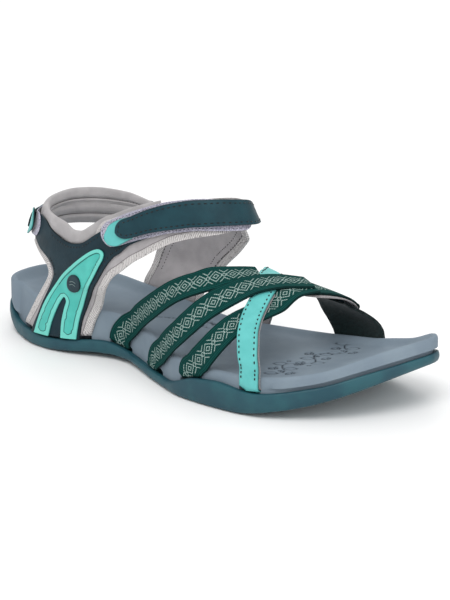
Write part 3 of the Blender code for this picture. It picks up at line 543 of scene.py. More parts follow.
def overlay_finish():
    """The moulded overlay: a raised rim made lighter with a painted highlight, a groove inside it darkened
    with painted shade, and painted shade on its lower sides.
    """
    made = Finish("overlay_mint", 0.42, 0.45)
    edge = made.attribute("edge")
    cloudy = made.step(0.3, 0.7, made.noise(8.0, 3.0))
    middle = made.mix(cloudy, linear((66, 176, 165)), linear((76, 188, 176)))
    # painted highlight: the raised rim is made lighter
    rim = made.math("SUBTRACT", 1.0, made.step(1.7, 2.0, edge))
    shade = made.mix(rim, middle, linear((106, 203, 190)))
    # painted shade in the groove inside the rim
    shade = made.mix(made.band(2.05, 0.12, 0.2, edge), shade, linear((22, 92, 88)))
    # painted shade on the lower half of the overlay's sides
    side = made.math("SUBTRACT", 1.0, made.step(0.3, 0.6, made.attribute("depth")))
    shade = made.mix(side, shade, linear((30, 110, 104)))
    grain = made.math("ADD", made.cells(0.7), made.noise(0.3))
    return made.finish(shade, grain, 0.05, made.math("MULTIPLY_ADD", made.noise(4.0), 0.15, 0.36))


def lining_finish(name, colour, dark, bound):
    """Knitted lining fabric with an overlocked binding of the given width along its edge, and painted shade
    in the trough just inside the binding.
    """
    made = Finish(name, 0.92, 0.2, 0.25)
    edge = made.attribute("edge")
    run = made.attribute("run")
    cloudy = made.step(0.3, 0.7, made.noise(7.0, 3.0))
    shade = made.mix(cloudy, linear(dark), linear(colour))
    knit = made.math("MULTIPLY", made.cells(0.45), 1.4)
    inside = made.math("SUBTRACT", 1.0, made.step(bound - 0.15, bound + 0.15, edge))
    lean = made.math("ADD", run, made.math("MULTIPLY", edge, 0.5))
    thread = made.math("MULTIPLY", made.step(0.35, 0.75, made.wave(1.15, lean)), inside)
    flecks = made.math("MULTIPLY", made.step(0.62, 0.7, made.noise(0.8, 1.0)), inside)
    shade = made.mix(made.math("MULTIPLY", inside, 0.6), shade, linear((188, 183, 182)))
    shade = made.mix(made.math("MULTIPLY", thread, 0.85), shade, linear((226, 223, 221)))
    shade = made.mix(made.math("MULTIPLY", flecks, 0.8), shade, linear((84, 80, 78)))
    # painted shade in the trough just inside the binding; with no binding it darkens the rounded edge
    line = made.band(bound + 0.25, 0.1, 0.25, edge)
    shade = made.mix(made.math("MULTIPLY", line, 0.55), shade, linear((70, 66, 66)))
    height = made.math("ADD", knit, made.math("MULTIPLY", thread, 1.6))
    return made.finish(shade, height, 0.12)


def webbing_finish():
    """Woven elastic: a dark ground, a pale diamond and zigzag motif, plain ribbed edges, and painted shade
    along its rounded edges and under them.
    """
    made = Finish("webbing", 0.9, 0.12)
    run, across = made.attribute("run"), made.attribute("across")
    away = made.math("ABSOLUTE", across)
    period, motif = 8.2, 3.6
    place = made.math("FRACT", made.math("DIVIDE", run, period))
    saw = made.math("ABSOLUTE", made.math("MULTIPLY_ADD", place, 2.0, -1.0))
    share = made.math("DIVIDE", away, motif)
    total = made.math("ADD", saw, share)
    difference = made.math("SUBTRACT", saw, share)
    lines = made.band(0.84, 0.06, 0.06, total)
    lines = made.math("MAXIMUM", lines, made.band(0.34, 0.06, 0.06, total))
    lines = made.math("MAXIMUM", lines, made.band(0.68, 0.05, 0.06, difference))
    lines = made.math("MAXIMUM", lines, made.band(1.5, 0.06, 0.06, total))
    lines = made.math("MULTIPLY", lines, made.math("SUBTRACT", 1.0, made.step(1.0, 1.1, share)))
    pick = made.wave(0.85, run)
    warp = made.wave(0.7, across)
    weave = made.math("MULTIPLY", pick, warp)
    broken = made.math("MULTIPLY", lines, made.step(-0.1, 0.22, weave))
    ground = made.mix(weave, linear((10, 50, 48)), linear((26, 88, 82)))
    plain = made.step(4.6, 5.0, away)
    ribs = made.mix(made.wave(0.9, across), linear((8, 42, 42)), linear((24, 80, 75)))
    shade = made.mix(plain, ground, ribs)
    shade = made.mix(broken, shade, linear((168, 192, 186)))
    # painted shade along the strap's rounded edges
    edge_shade = made.math("SUBTRACT", 1.0, made.step(0.2, 0.9, made.attribute("edge")))
    shade = made.mix(made.math("MULTIPLY", edge_shade, 0.7), shade, linear((8, 26, 27)))
    # painted shade on the underside and lower half of the strap's edges
    side = made.math("SUBTRACT", 1.0, made.step(0.35, 0.75, made.attribute("depth")))
    shade = made.mix(side, shade, linear((12, 34, 34)))
    height = made.math("ADD", weave, made.math("MULTIPLY", broken, 0.6))
    return made.finish(shade, height, 0.16)


def tape_finish(name, colour, dark, size):
    """Hook or loop tape: a close nap of tiny tufts."""
    made = Finish(name, 0.95, 0.15, 0.3)
    tufts = made.cells(size)
    shade = made.mix(made.step(0.2, 0.62, tufts), linear(colour), linear(dark))
    return made.finish(shade, made.math("SUBTRACT", 1.0, tufts), 0.18)


def thread_finish(name, colour):
    """Twisted sewing thread."""
    made = Finish(name, 0.6, 0.3, 0.15)
    twist = made.noise(0.3)
    shade = made.mix(twist, linear([step * 0.6 for step in colour]), linear(colour))
    return made.finish(shade, twist, 0.05)


def floor_finish():
    made = Finish("studio_floor", 0.9, 0.1)
    shade = made.mix(made.noise(60.0), (0.93, 0.93, 0.93), (0.95, 0.95, 0.95))
    return made.finish(shade)


def make_finishes():
    # dark colour of the cut edges, also used for painted shade on the margins and under the sheets
    dark_edge_and_shade = (14, 24, 28)
    return {
        "rubber": rubber_finish(),
        "footbed": footbed_finish(),
        "teal": coated_finish("quarter_teal", (22, 48, 58), (18, 42, 51), dark_edge_and_shade),
        "top": coated_finish("strap_teal", (27, 62, 71), (22, 54, 63), dark_edge_and_shade),
        "mint": coated_finish("strap_mint", (100, 190, 187), (91, 180, 177), (20, 60, 60), 0.45),
        "overlay": overlay_finish(),
        "badge": coated_finish("badge_dark", (36, 58, 66), (30, 50, 58), (16, 26, 30), 0.4),
        "mark": thread_finish("badge_mark", (140, 165, 165)),
        "lining": lining_finish("lining_grey", (172, 168, 170), (160, 156, 158), 3.6),
        "binding": lining_finish("collar_binding", (172, 168, 170), (160, 156, 158), 9.0),
        "collar": lining_finish("collar_grey", (172, 169, 170), (160, 157, 158), 0.0),
        "band_lining": lining_finish("strap_lining", (160, 156, 158), (146, 142, 144), 0.0),
        "foam": tape_finish("padding_foam", (208, 205, 196), (180, 176, 168), 1.2),
        "loop": tape_finish("loop_tape", (204, 202, 216), (150, 148, 166), 0.7),
        "hook": tape_finish("hook_tape", (42, 50, 54), (16, 20, 22), 0.9),
        "backing": tape_finish("anchor_velvet", (30, 54, 54), (14, 30, 30), 0.6),
        "web": webbing_finish(),
        "dark_thread": thread_finish("thread_dark", (22, 34, 38)),
        "black_thread": thread_finish("thread_black", (14, 16, 18)),
        "grey_thread": thread_finish("thread_grey", (96, 92, 92)),
        "floor": floor_finish(),
    }


# ---- making pieces ------------------------------------------------------------------------

SHIFT = Vector((CAD_LOW.x / MM + 54.8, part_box("outsole")[1].y / MM - LENGTH / 2, 0.0))


def make_piece(name, points, faces, finish, body, replaced=(), fields=None):
    """A smooth-shaded piece from points in millimetres, riding on a body of the frame."""
    mesh = bpy.data.meshes.new(name)
    mesh.from_pydata([tuple((Vector(point) + SHIFT) * MM) for point in points], [], faces)
    for field, values in (fields or {}).items():
        layer = mesh.attributes.new(field, "FLOAT", "POINT")
        layer.data.foreach_set("value", np.array(values, np.float32))
    mesh.validate()
    outward(mesh)
    mesh.materials.append(finish)
    mesh.shade_smooth()
    mesh.set_sharp_from_angle(angle=math.radians(50))
    made = bpy.data.objects.new(name, mesh)
    bpy.context.scene.collection.objects.link(made)
    if body:
        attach(made, body)
    if replaced:
        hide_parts(*replaced)
    return made


def outward(mesh):
    """Turns all faces of a mesh outwards; each of its closed bodies is turned as a whole."""
    shape = bmesh.new()
    shape.from_mesh(mesh)
    bmesh.ops.recalc_face_normals(shape, faces=shape.faces)
    if shape.calc_volume(signed=True) < 0:
        bmesh.ops.reverse_faces(shape, faces=shape.faces)
    shape.to_mesh(mesh)
    shape.free()


def loft_faces(count, levels, first=0, closed=True):
    """Quads between rings of count points, with a cap at each end."""
    faces = []
    for level in range(levels - 1):
        low = first + level * count
        for i in range(count if closed else count - 1):
            j = (i + 1) % count
            faces.append((low + i, low + j, low + count + j, low + count + i))
    faces.append(tuple(reversed(range(first, first + count))))
    last = first + (levels - 1) * count
    faces.append(tuple(range(last, last + count)))
    return faces


def section(half, thickness, rows):
    """A strap's section as (across, depth) points: a slab with rounded edges."""
    radius = min(thickness * 0.48, half * 0.5)
    flat = half - radius
    upper = [(flat * (1 - 2 * k / rows), thickness) for k in range(rows + 1)]
    corner = [math.radians(step) for step in (25, 55, 90, 125, 155)]
    left = [(-flat - radius * math.sin(turn), thickness / 2 + (thickness / 2) * math.cos(turn))
            for turn in corner]
    lower = [(-flat * (1 - 2 * k / rows), 0.0) for k in range(rows + 1)]
    right = [(flat + radius * math.sin(turn), thickness / 2 - (thickness / 2) * math.cos(turn))
             for turn in corner]
    return upper + left + lower + right


class Strap:
    """A strap along a route on a chart, from its inner face out, with places on it for stitches."""

    def __init__(self, chart, knots, width, inner, thickness, lift=None, round_ends=(0, 0), crown=0.0):
        self.chart, self.inner, self.thickness, self.crown = chart, inner, thickness, crown
        self.a_at, self.b_at, self.length = route_functions(chart, knots)
        self.width_at = curve_through(width) if isinstance(width, list) else (lambda share: width)
        self.lift_at = curve_through(lift) if lift else (lambda angle: 0.0)
        self.round_ends = round_ends

    def half(self, share):
        half = self.width_at(share) / 2
        ends = ((share * self.length, self.round_ends[0]), ((1 - share) * self.length, self.round_ends[1]))
        for distance, radius in ends:
            if radius and distance < radius:
                half *= math.sqrt(max(1 - (1 - distance / radius) ** 2, 0.012))
        return half

    def across_curve(self, share, reach):
        """Functions from an across distance to chart places, at one station."""
        a, b = self.a_at(share), self.b_at(share)
        step = 0.004
        low, high = max(share - step, 0.0), min(share + step, 1.0)
        ahead = (self.chart(self.a_at(high), self.b_at(high)) - self.chart(self.a_at(low), self.b_at(low)))
        outside = self.chart(a, b, 1.0) - self.chart(a, b)
        across = outside.cross(ahead).normalized()
        spots = [-reach, -reach / 2, 0.0, reach / 2, reach]
        places = [walk(self.chart, a, b, across, spot) for spot in spots]

        def at(distance):
            place = [0.0, 0.0]
            for i, spot in enumerate(spots):
                weight = 1.0
                for j, other in enumerate(spots):
                    if j != i:
                        weight *= (distance - other) / (spot - other)
                place[0] += weight * places[i][0]
                place[1] += weight * places[i][1]
            return place
        return at

    def point(self, place, depth, across=0.0):
        a, b = place
        bulge = self.crown * max(1 - (2 * across / self.width_at(0.5)) ** 2, 0.0) * depth / self.thickness
        return self.chart(a, b, self.inner + self.lift_at(a) + depth + bulge)

    def at(self, run, across, depth):
        share = clamp(run / self.length, 0.0, 1.0)
        place = self.across_curve(share, max(self.width_at(share) / 2, 1.0))(across)
        return self.point(place, depth, across)

    def stations(self, longest):
        shares = stations_along(self.chart, self.a_at, self.b_at, longest, 7.0)
        for radius, at_end in ((self.round_ends[0], False), (self.round_ends[1], True)):
            if radius:
                extra = [(1 - math.cos(math.radians(turn))) * radius / self.length
                         for turn in (8, 17, 27, 38, 50, 63, 76, 90)]
                kept = [share for share in shares
                        if (1 - share if at_end else share) * self.length > radius]
                shares = sorted(kept + [1 - share if at_end else share for share in [0.0] + extra])
        return shares

    def build(self, name, finish, body, slot, replaced=(), rows=10, longest=1.6):
        points = []
        fields = {"run": [], "across": [], "edge": [], "depth": []}
        shares = self.stations(longest)
        for share in shares:
            half = self.half(share)
            curve = self.across_curve(share, self.width_at(share) / 2)
            ends = [d for d, radius in ((share * self.length, self.round_ends[0]),
                                        ((1 - share) * self.length, self.round_ends[1])) if radius]
            for across, depth in section(half, self.thickness, rows):
                points.append(self.point(curve(across), depth, across))
                fields["run"].append(share * self.length)
                fields["across"].append(across)
                fields["edge"].append(min([half - abs(across)] + ends))
                fields["depth"].append(depth / self.thickness)
        count = len(points) // len(shares)
        faces = loft_faces(count, len(shares))
        return make_piece(name, points, faces, finish, body, replaced, fields)

    def row(self, inset, start, end, pitch, ends=(False, False)):
        """Stitch places along both edges, and round an end where ends says so."""
        lines = []
        for side in (-1, 1):
            line = []
            run = start
            while run <= end:
                across = self.half(run / self.length) - inset
                line.append(self.at(run, side * across, self.thickness))
                run += pitch
            lines.append(line)
        path = lines
        for at_end, wanted in ((0, ends[0]), (1, ends[1])):
            if wanted:
                radius = self.round_ends[at_end]
                reach = self.width_at(at_end) / 2 - inset
                count = max(int(math.pi * reach / pitch), 4)
                arc = []
                for k in range(1, count):
                    turn = math.pi * k / count
                    run = inset + (radius - inset) * (1 - math.sin(turn))
                    run = self.length - run if at_end else run
                    arc.append(self.at(run, reach * math.cos(turn), self.thickness))
                path.append(arc)
        return path


def stitches(name, lines, surface_point, finish, body, long=1.8, thick=0.3):
    """Thread stitches as low beads: one at each place of each line, pointing along the line."""
    points, faces = [], []
    sides = 6
    beads = [(-0.5, 0.2, -0.25), (-0.38, 0.75, 0.0), (0.0, 1.0, 0.12), (0.38, 0.75, 0.0), (0.5, 0.2, -0.25)]
    for line in lines:
        if len(line) < 2:
            continue
        for i, place in enumerate(line):
            before, after = line[max(i - 1, 0)], line[min(i + 1, len(line) - 1)]
            along = (after - before).normalized()
            outside = surface_point(place)
            outside = (outside - along * outside.dot(along)).normalized()
            across = along.cross(outside)
            first = len(points)
            for share, size, rise in beads:
                middle = place + along * (share * long) + outside * (rise * thick * 2)
                for k in range(sides):
                    turn = 2 * math.pi * k / sides
                    points.append(middle + (across * math.cos(turn) + outside * math.sin(turn) * 0.8)
                                  * (thick * size))
            faces += loft_faces(sides, len(beads), first)
    return make_piece(name, points, faces, finish, body)


def away_from_foot(place):
    """The direction out of the foot at a place on the upper's rear."""
    middle = Vector((0.0, clamp(place.y, -25.0, 95.0), place.z))
    return (place - middle).normalized()


def out_of_forefoot(place):
    """The direction out of the foot at a place on a forefoot strap."""
    middle = Vector((0.0, place.y, 18.0))
    return (place - middle).normalized()


# ---- panels ---------------------------------------------------------------------------------

def inside_loop(loop, place):
    """Whether a flat place is inside a closed loop of points."""
    x, y = place
    inside = False
    for (x1, y1), (x2, y2) in zip(loop, loop[1:] + loop[:1]):
        if (y1 > y) != (y2 > y) and x < x1 + (x2 - x1) * (y - y1) / (y2 - y1):
            inside = not inside
    return inside


class Panel:
    """A sheet cut to an outline in chart places and bent on to the chart."""

    def __init__(self, chart, outline, spacing=2.2, steps=4):
        self.chart = chart
        self.spacing = spacing
        edge = [(point.x, point.y) for point in closed_curve(outline, steps)]
        self.loop = self.even(edge, 1.0)
        self.places = [chart(a, b) for a, b in self.loop]
        self.inward = self.inward_directions()
        self.dense = np.array(self.densified(self.places, 0.4))
        run, total = [], 0.0
        for i, place in enumerate(self.places):
            run.append(total)
            total += (self.places[(i + 1) % len(self.places)] - place).length
        self.run = np.array(run)
        self.edge_points = np.array([tuple(place) for place in self.places])

    def even(self, edge, gap):
        """The edge with points no more than a gap of millimetres apart."""
        made = []
        for i, (a, b) in enumerate(edge):
            c, d = edge[(i + 1) % len(edge)]
            pieces = max(int((self.chart(c, d) - self.chart(a, b)).length / gap), 1)
            made += [(a + (c - a) * k / pieces, b + (d - b) * k / pieces) for k in range(pieces)]
        return made

    def densified(self, places, gap):
        made = []
        for i, place in enumerate(places):
            after = places[(i + 1) % len(places)]
            pieces = max(int((after - place).length / gap), 1)
            made += [tuple(place.lerp(after, k / pieces)) for k in range(pieces)]
        return made

    def inward_directions(self):
        count = len(self.loop)
        directions, votes = [], 0
        for i, (a, b) in enumerate(self.loop):
            along = (self.places[(i + 1) % count] - self.places[i - 1]).normalized()
            outside = (self.chart(a, b, 1.0) - self.chart(a, b)).normalized()
            across = outside.cross(along)
            directions.append(across)
            if i % 7 == 0:
                votes += 1 if inside_loop(self.loop, walk(self.chart, a, b, across, 0.3)) else -1
        return directions if votes > 0 else [-across for across in directions]

    def distance(self, places):
        """Distance of each place to the outline, and how far round the outline that is."""
        places = np.array([tuple(place) for place in places])
        away, run = np.zeros(len(places)), np.zeros(len(places))
        for start in range(0, len(places), 500):
            part = places[start:start + 500]
            away[start:start + 500] = np.sqrt(((part[:, None] - self.dense[None]) ** 2).sum(2)).min(1)
            near = ((part[:, None] - self.edge_points[None]) ** 2).sum(2).argmin(1)
            run[start:start + 500] = self.run[near]
        return away, run

    def ring(self, inset):
        """Chart places a distance in from the outline, in order; None where it pinches."""
        walked = [walk(self.chart, a, b, across, inset)
                  for (a, b), across in zip(self.loop, self.inward)]
        away, _ = self.distance([self.chart(a, b) for a, b in walked])
        return [place if distance > inset * 0.93 else None for place, distance in zip(walked, away)]

    def inner_places(self, margin):
        low_a, high_a = min(a for a, _ in self.loop), max(a for a, _ in self.loop)
        low_b, high_b = min(b for _, b in self.loop), max(b for _, b in self.loop)
        places = []
        b = low_b
        while b < high_b:
            a = low_a
            while a < high_a:
                wide = (self.chart(a + 0.5, b) - self.chart(a - 0.5, b)).length
                if inside_loop(self.loop, (a, b)):
                    places.append((a, b))
                a += self.spacing / max(wide, 0.05)
            b += 0.9 if -1 <= b < 13 else self.spacing
        away, _ = self.distance([self.chart(a, b) for a, b in places])
        return [place for place, distance in zip(places, away) if distance > margin]

    def build(self, name, inner, thickness, finish, body, slot, replaced=(), rings=(0.3, 0.8, 1.6),
              profile=None, extra=()):
        """profile gives the height share by distance from the edge; extra adds exact rings."""
        shape = profile or (lambda away: 0.55 + 0.45 * math.sqrt(ease(-0.3, 0.9, away)))
        flat = list(self.loop)
        for inset in list(rings) + list(extra):
            flat += [place for place in self.ring(inset) if place]
        flat += self.inner_places(max(list(rings) + list(extra)) + self.spacing * 0.45)
        count = len(self.loop)
        vertices = [Vector(place) for place in flat]
        edges = [(i, (i + 1) % count) for i in range(count)]
        made, _, triangles, _, _, _ = geometry.delaunay_2d_cdt(vertices, edges, [], 1, 1e-5)
        places = [(point.x, point.y) for point in made]
        spots = [self.chart(a, b) for a, b in places]
        away, run = self.distance(spots)
        upper = [self.chart(a, b, inner + thickness * shape(distance))
                 for (a, b), distance in zip(places, away)]
        lower = [self.chart(a, b, inner) for a, b in places]
        total = len(places)
        faces = [tuple(face) for face in triangles]
        faces += [tuple(total + i for i in reversed(face)) for face in triangles]
        used = {}
        for face in triangles:
            for i, j in zip(face, list(face[1:]) + [face[0]]):
                used[(i, j)] = used.get((i, j), 0) + 1
        faces += [(j, i, total + i, total + j) for i, j in used if (j, i) not in used]
        fields = {"edge": list(away) * 2, "run": list(run) * 2, "depth": [1.0] * total + [0.0] * total}
        return make_piece(name, upper + lower, faces, finish, body, replaced, fields)

    def stitch_lines(self, inset, pitch, depth, low=None):
        """Lines of stitch places a distance in from the outline, on the face at depth."""
        ring = self.ring(inset)
        lines, line, travelled, last = [], [], pitch, None
        for place in ring + ring[:1]:
            if place is None or (low is not None and place[1] < low):
                if len(line) > 1:
                    lines.append(line)
                line, last = [], None
                continue
            spot = self.chart(place[0], place[1], depth)
            travelled = pitch if last is None else travelled + (spot - last).length
            last = spot
            if travelled >= pitch - 0.4:
                line.append(spot)
                travelled = 0.0
        if len(line) > 1:
            lines.append(line)
        return lines


# ---- the sole -------------------------------------------------------------------------------

def sole_outline(stations=400, count=300):
    """Evenly spaced points round the sole, seen from above as (sideways, distance back)."""
    outer, inner = [], []
    for i in range(stations + 1):
        back = LENGTH * (1 - math.cos(math.pi * i / stations)) / 2
        outer.append(Vector((-OUTER_EDGE(back), back)))
        inner.append(Vector((INNER_EDGE(back), back)))
    loop = outer + list(reversed(inner[1:-1]))
    run = [0.0]
    for start, end in zip(loop, loop[1:] + loop[:1]):
        run.append(run[-1] + (end - start).length)
    loop.append(loop[0])
    even = []
    i = 0
    for k in range(count):
        goal = run[-1] * k / count
        while run[i + 1] <= goal:
            i += 1
        even.append(loop[i].lerp(loop[i + 1], (goal - run[i]) / (run[i + 1] - run[i])))
    return even


SOLE_LOOP = sole_outline()


def sole_ring(inset, height):
    """The sole's outline moved inwards; inset and height depend on the distance back."""
    count = len(SOLE_LOOP)
    spread = 10
    ring = []
    for i, point in enumerate(SOLE_LOOP):
        along = (SOLE_LOOP[(i + spread) % count] - SOLE_LOOP[i - spread]).normalized()
        side = -1 if point.x < 0 else 1
        inward = inset(point.y, side) if callable(inset) else inset
        moved = point + Vector((along.y, -along.x)) * inward
        level = height(clamp(moved.y, 0, LENGTH))
        ring.append(Vector((moved.x, LENGTH / 2 - moved.y, level)))
    return ring


def outsole(finish):
    def under(rise):
        return lambda back: UNDERSIDE(back) + rise

    def band(drop):
        return lambda back: BAND_TOP(back) - drop

    def flank(share):
        return lambda back: UNDERSIDE(back) + share * (BAND_TOP(back) - UNDERSIDE(back))
    rings = [sole_ring(5.0, under(0)), sole_ring(1.9, under(0)), sole_ring(1.0, under(0.3)),
             sole_ring(0.45, under(0.9)), sole_ring(0.15, flank(0.3)), sole_ring(0.0, flank(0.45)),
             sole_ring(0.05, flank(0.62)), sole_ring(0.25, band(1.2)), sole_ring(0.55, band(0.4)),
             sole_ring(0.95, band(0.05)), sole_ring(1.5, band(0)),
             sole_ring(FOOTBED_SETBACK - GAP, band(0.1)), sole_ring(FOOTBED_SETBACK - GAP, under(SOLE_PLATE)),
             sole_ring(FLOOR_INSET, under(SOLE_PLATE))]
    count = len(rings[0])
    points = [point for ring in rings for point in ring]
    faces = loft_faces(count, len(rings))
    bottom, top = faces[-2], faces[-1]
    faces = faces[:-2] + strip_cap(bottom) + strip_cap(top)
    made = make_piece("sole_tread", points, faces, finish, "sandal", ["outsole"])
    for index in range(9):
        cut_groove(made, 34 + index * 18)
    return made


def strip_cap(ring):
    """Faces across a ring of corners, from its first corner's side to the other."""
    count = len(ring)
    faces = []
    for i in range(count // 2):
        corners = [ring[i], ring[i + 1], ring[count - i - 1], ring[(count - i) % count]]
        kept = [corner for n, corner in enumerate(corners) if corner not in corners[:n]]
        if len(kept) > 2:
            faces.append(tuple(kept))
    return faces


def cut_groove(made, back):
    """Cuts one shallow wavy groove across the tread."""
    width, depth, margin, bends = 3.0, 1.6, 7.0, 4
    outer, inner = -OUTER_EDGE(back) + margin, INNER_EDGE(back) - margin
    points = []
    for i in range(bends + 1):
        x = outer + (inner - outer) * i / bends
        y = LENGTH / 2 - back + (2.5 if i % 2 else -2.5)
        low, top = UNDERSIDE(back) - 3, UNDERSIDE(back) + depth
        points += [(x, y - width / 2, low), (x, y + width / 2, low), (x, y + width / 2, top),
                   (x, y - width / 2, top)]
    cutter = make_piece("groove_cutter", points, loft_faces(4, bends + 1), None, None)
    carve = made.modifiers.new("groove", "BOOLEAN")
    carve.object = cutter
    carve.operation = "DIFFERENCE"
    apply_modifiers(made)
    bpy.data.objects.remove(cutter, do_unlink=True)


def apply_modifiers(made):
    bpy.context.view_layer.update()
    shown = made.evaluated_get(bpy.context.evaluated_depsgraph_get())
    finished = bpy.data.meshes.new_from_object(shown)
    made.modifiers.clear()
    made.data = finished


LANDINGS = [(-1, 23, 74.5, REAR_STACK), (1, 57.5, 106, REAR_STACK), (-1, 86, 99, WEB_STACK),
            (-1, 119.5, 132.5, WEB_STACK), (-1, 154.5, 167.5, WEB_STACK), (-1, 196, 206, CROSS_STACK),
            (1, 137, 147, CROSS_STACK), (1, 186, 214, ANCHOR_STACK)]


def pocket(back, side, deep):
    """How far the footbed's side is cut in where a strap enters the sole there."""
    for landing_side, start, end, _ in LANDINGS:
        if side == landing_side and start <= back <= end:
            return deep
    return 0.0


def pocket_top(back, side):
    for landing_side, start, end, stack in LANDINGS:
        if side == landing_side and start <= back <= end:
            return 2 * GAP + WALL_GAP + stack
    return 1.4


# Lines pressed into the footbed, as (sideways, distance back) places on its top.
HEEL_MARKS = [[(-17 + 6 * k, 30 + 9 * math.sin(math.pi * k / 6)) for k in range(7)],
              [(-13 + 5 * k, 44 + 7 * math.sin(math.pi * k / 6)) for k in range(7)]]


def arch_marks():
    """Three long crossing sweeps pressed into the arch."""
    lines = []
    for start, end, bow in (((20, 76), (-6, 150), 9), ((24, 92), (2, 146), -7), ((-20, 84), (12, 128), 6)):
        line = []
        for k in range(15):
            t = k / 14
            x = start[0] + (end[0] - start[0]) * t + bow * math.sin(math.pi * t)
            line.append((x, start[1] + (end[1] - start[1]) * t))
        lines.append(line)
    return lines


def vine_marks():
    """A plain leafy vine pressed across the forefoot: a wavy stem, leaves, curls and berries."""
    lines = []
    low, high = -33.0, 36.0
    span = high - low

    def stem(share):
        return Vector((low + span * share, 197 + 4.5 * math.sin(share * 6 * math.pi) + 6 * share))
    lines.append([tuple(stem(k / 60)) for k in range(61)])
    for leaf in range(9):
        share = (leaf + 0.5) / 9
        root = stem(share)
        lean = math.radians(60 if leaf % 2 else -120)
        along = Vector((math.cos(lean), math.sin(lean)))
        across = Vector((-along.y, along.x))
        for side in (-1, 1):
            line = []
            for k in range(9):
                t = k / 8
                line.append(tuple(root + along * (7.5 * t) + across * (side * 2.3 * math.sin(math.pi * t))))
            lines.append(line)
        curl = []
        for k in range(16):
            turn = k / 15 * 1.6 * 2 * math.pi
            reach = 2.7 * (1 - 0.75 * k / 15)
            centre = root - along * 5.4
            curl.append(tuple(centre + Vector((math.cos(turn), math.sin(turn))) * reach))
        lines.append(curl)
        berry = root + across * 4.6
        lines.append([tuple(berry + Vector((math.cos(k * math.pi / 3), math.sin(k * math.pi / 3))) * 0.9)
                      for k in range(7)])
    return lines


def closeness(places, lines):
    """Distance of each flat place to the nearest of the polylines."""
    places = np.array(places, float)
    best = np.full(len(places), 1e9)
    for line in lines:
        points = np.array(line, float)
        for start, end in zip(points, points[1:]):
            along = end - start
            share = np.clip(((places - start) @ along) / max(along @ along, 1e-9), 0, 1)
            best = np.minimum(best, np.sqrt(((places - start - share[:, None] * along) ** 2).sum(1)))
    return best


def footbed(finish):
    def floor(back):
        return UNDERSIDE(back) + SOLE_PLATE + 3 * GAP

    def lip(inward):
        return lambda back, side: LIP_SETBACK(back) + inward

    def rim(share, drop=0.0):
        return lambda back: RIM_TOP(back) - share * DISH_DEPTH(back) - drop

    def inside_pocket(back, side):
        return FOOTBED_SETBACK + pocket(back, side, 9.0)
    low = sole_ring(inside_pocket, lambda back: BAND_TOP(back) + 0.4)
    roof_in = sole_ring(inside_pocket, lambda back: 0.0)
    roof_out = sole_ring(lambda back, side: max(FOOTBED_SETBACK, LIP_SETBACK(back)),
                         lambda back: 0.0)
    for i, point in enumerate(SOLE_LOOP):
        side = -1 if point.x < 0 else 1
        height = min(BAND_TOP(point.y) + pocket_top(point.y, side), RIM_TOP(point.y) - 3.0)
        roof_in[i].z = roof_out[i].z = height
    toe_side = sole_ring(lip(0), lambda back: 0.0)
    for i, point in enumerate(SOLE_LOOP):
        toe_side[i].z = roof_out[i].z + 0.5
    rings = [sole_ring(FLOOR_INSET + 5, floor), sole_ring(inside_pocket, floor), low, roof_in, roof_out,
             toe_side, sole_ring(lip(0), rim(0, 2.6)), sole_ring(lip(0.12), rim(0, 1.7)),
             sole_ring(lip(0.45), rim(0, 0.9)), sole_ring(lip(1.0), rim(0, 0.3)),
             sole_ring(lip(1.9), rim(0)), sole_ring(lip(3.0), rim(0.12)), sole_ring(lip(4.4), rim(0.4)),
             sole_ring(lip(RIM_WIDTH), rim(0.75)), sole_ring(lip(8.0), rim(0.9))]
    count = len(rings[0])
    points = [point for ring in rings for point in ring]
    faces = loft_faces(count, len(rings))
    bottom = faces[-2]
    faces = faces[:-2] + strip_cap(bottom)
    top_points, top_faces, pressed = footbed_top(rings[-1])
    offset = len(points) - count
    points = points[:offset] + top_points
    faces += [tuple(offset + i for i in face) for face in top_faces]
    # the pressed lines' shares, which the footbed finish uses for painted shade in the lines
    groove = [0.0] * offset + pressed
    return make_piece("footbed_moulded", points, faces, finish, "sandal", ["footbed"],
                      {"groove": groove})


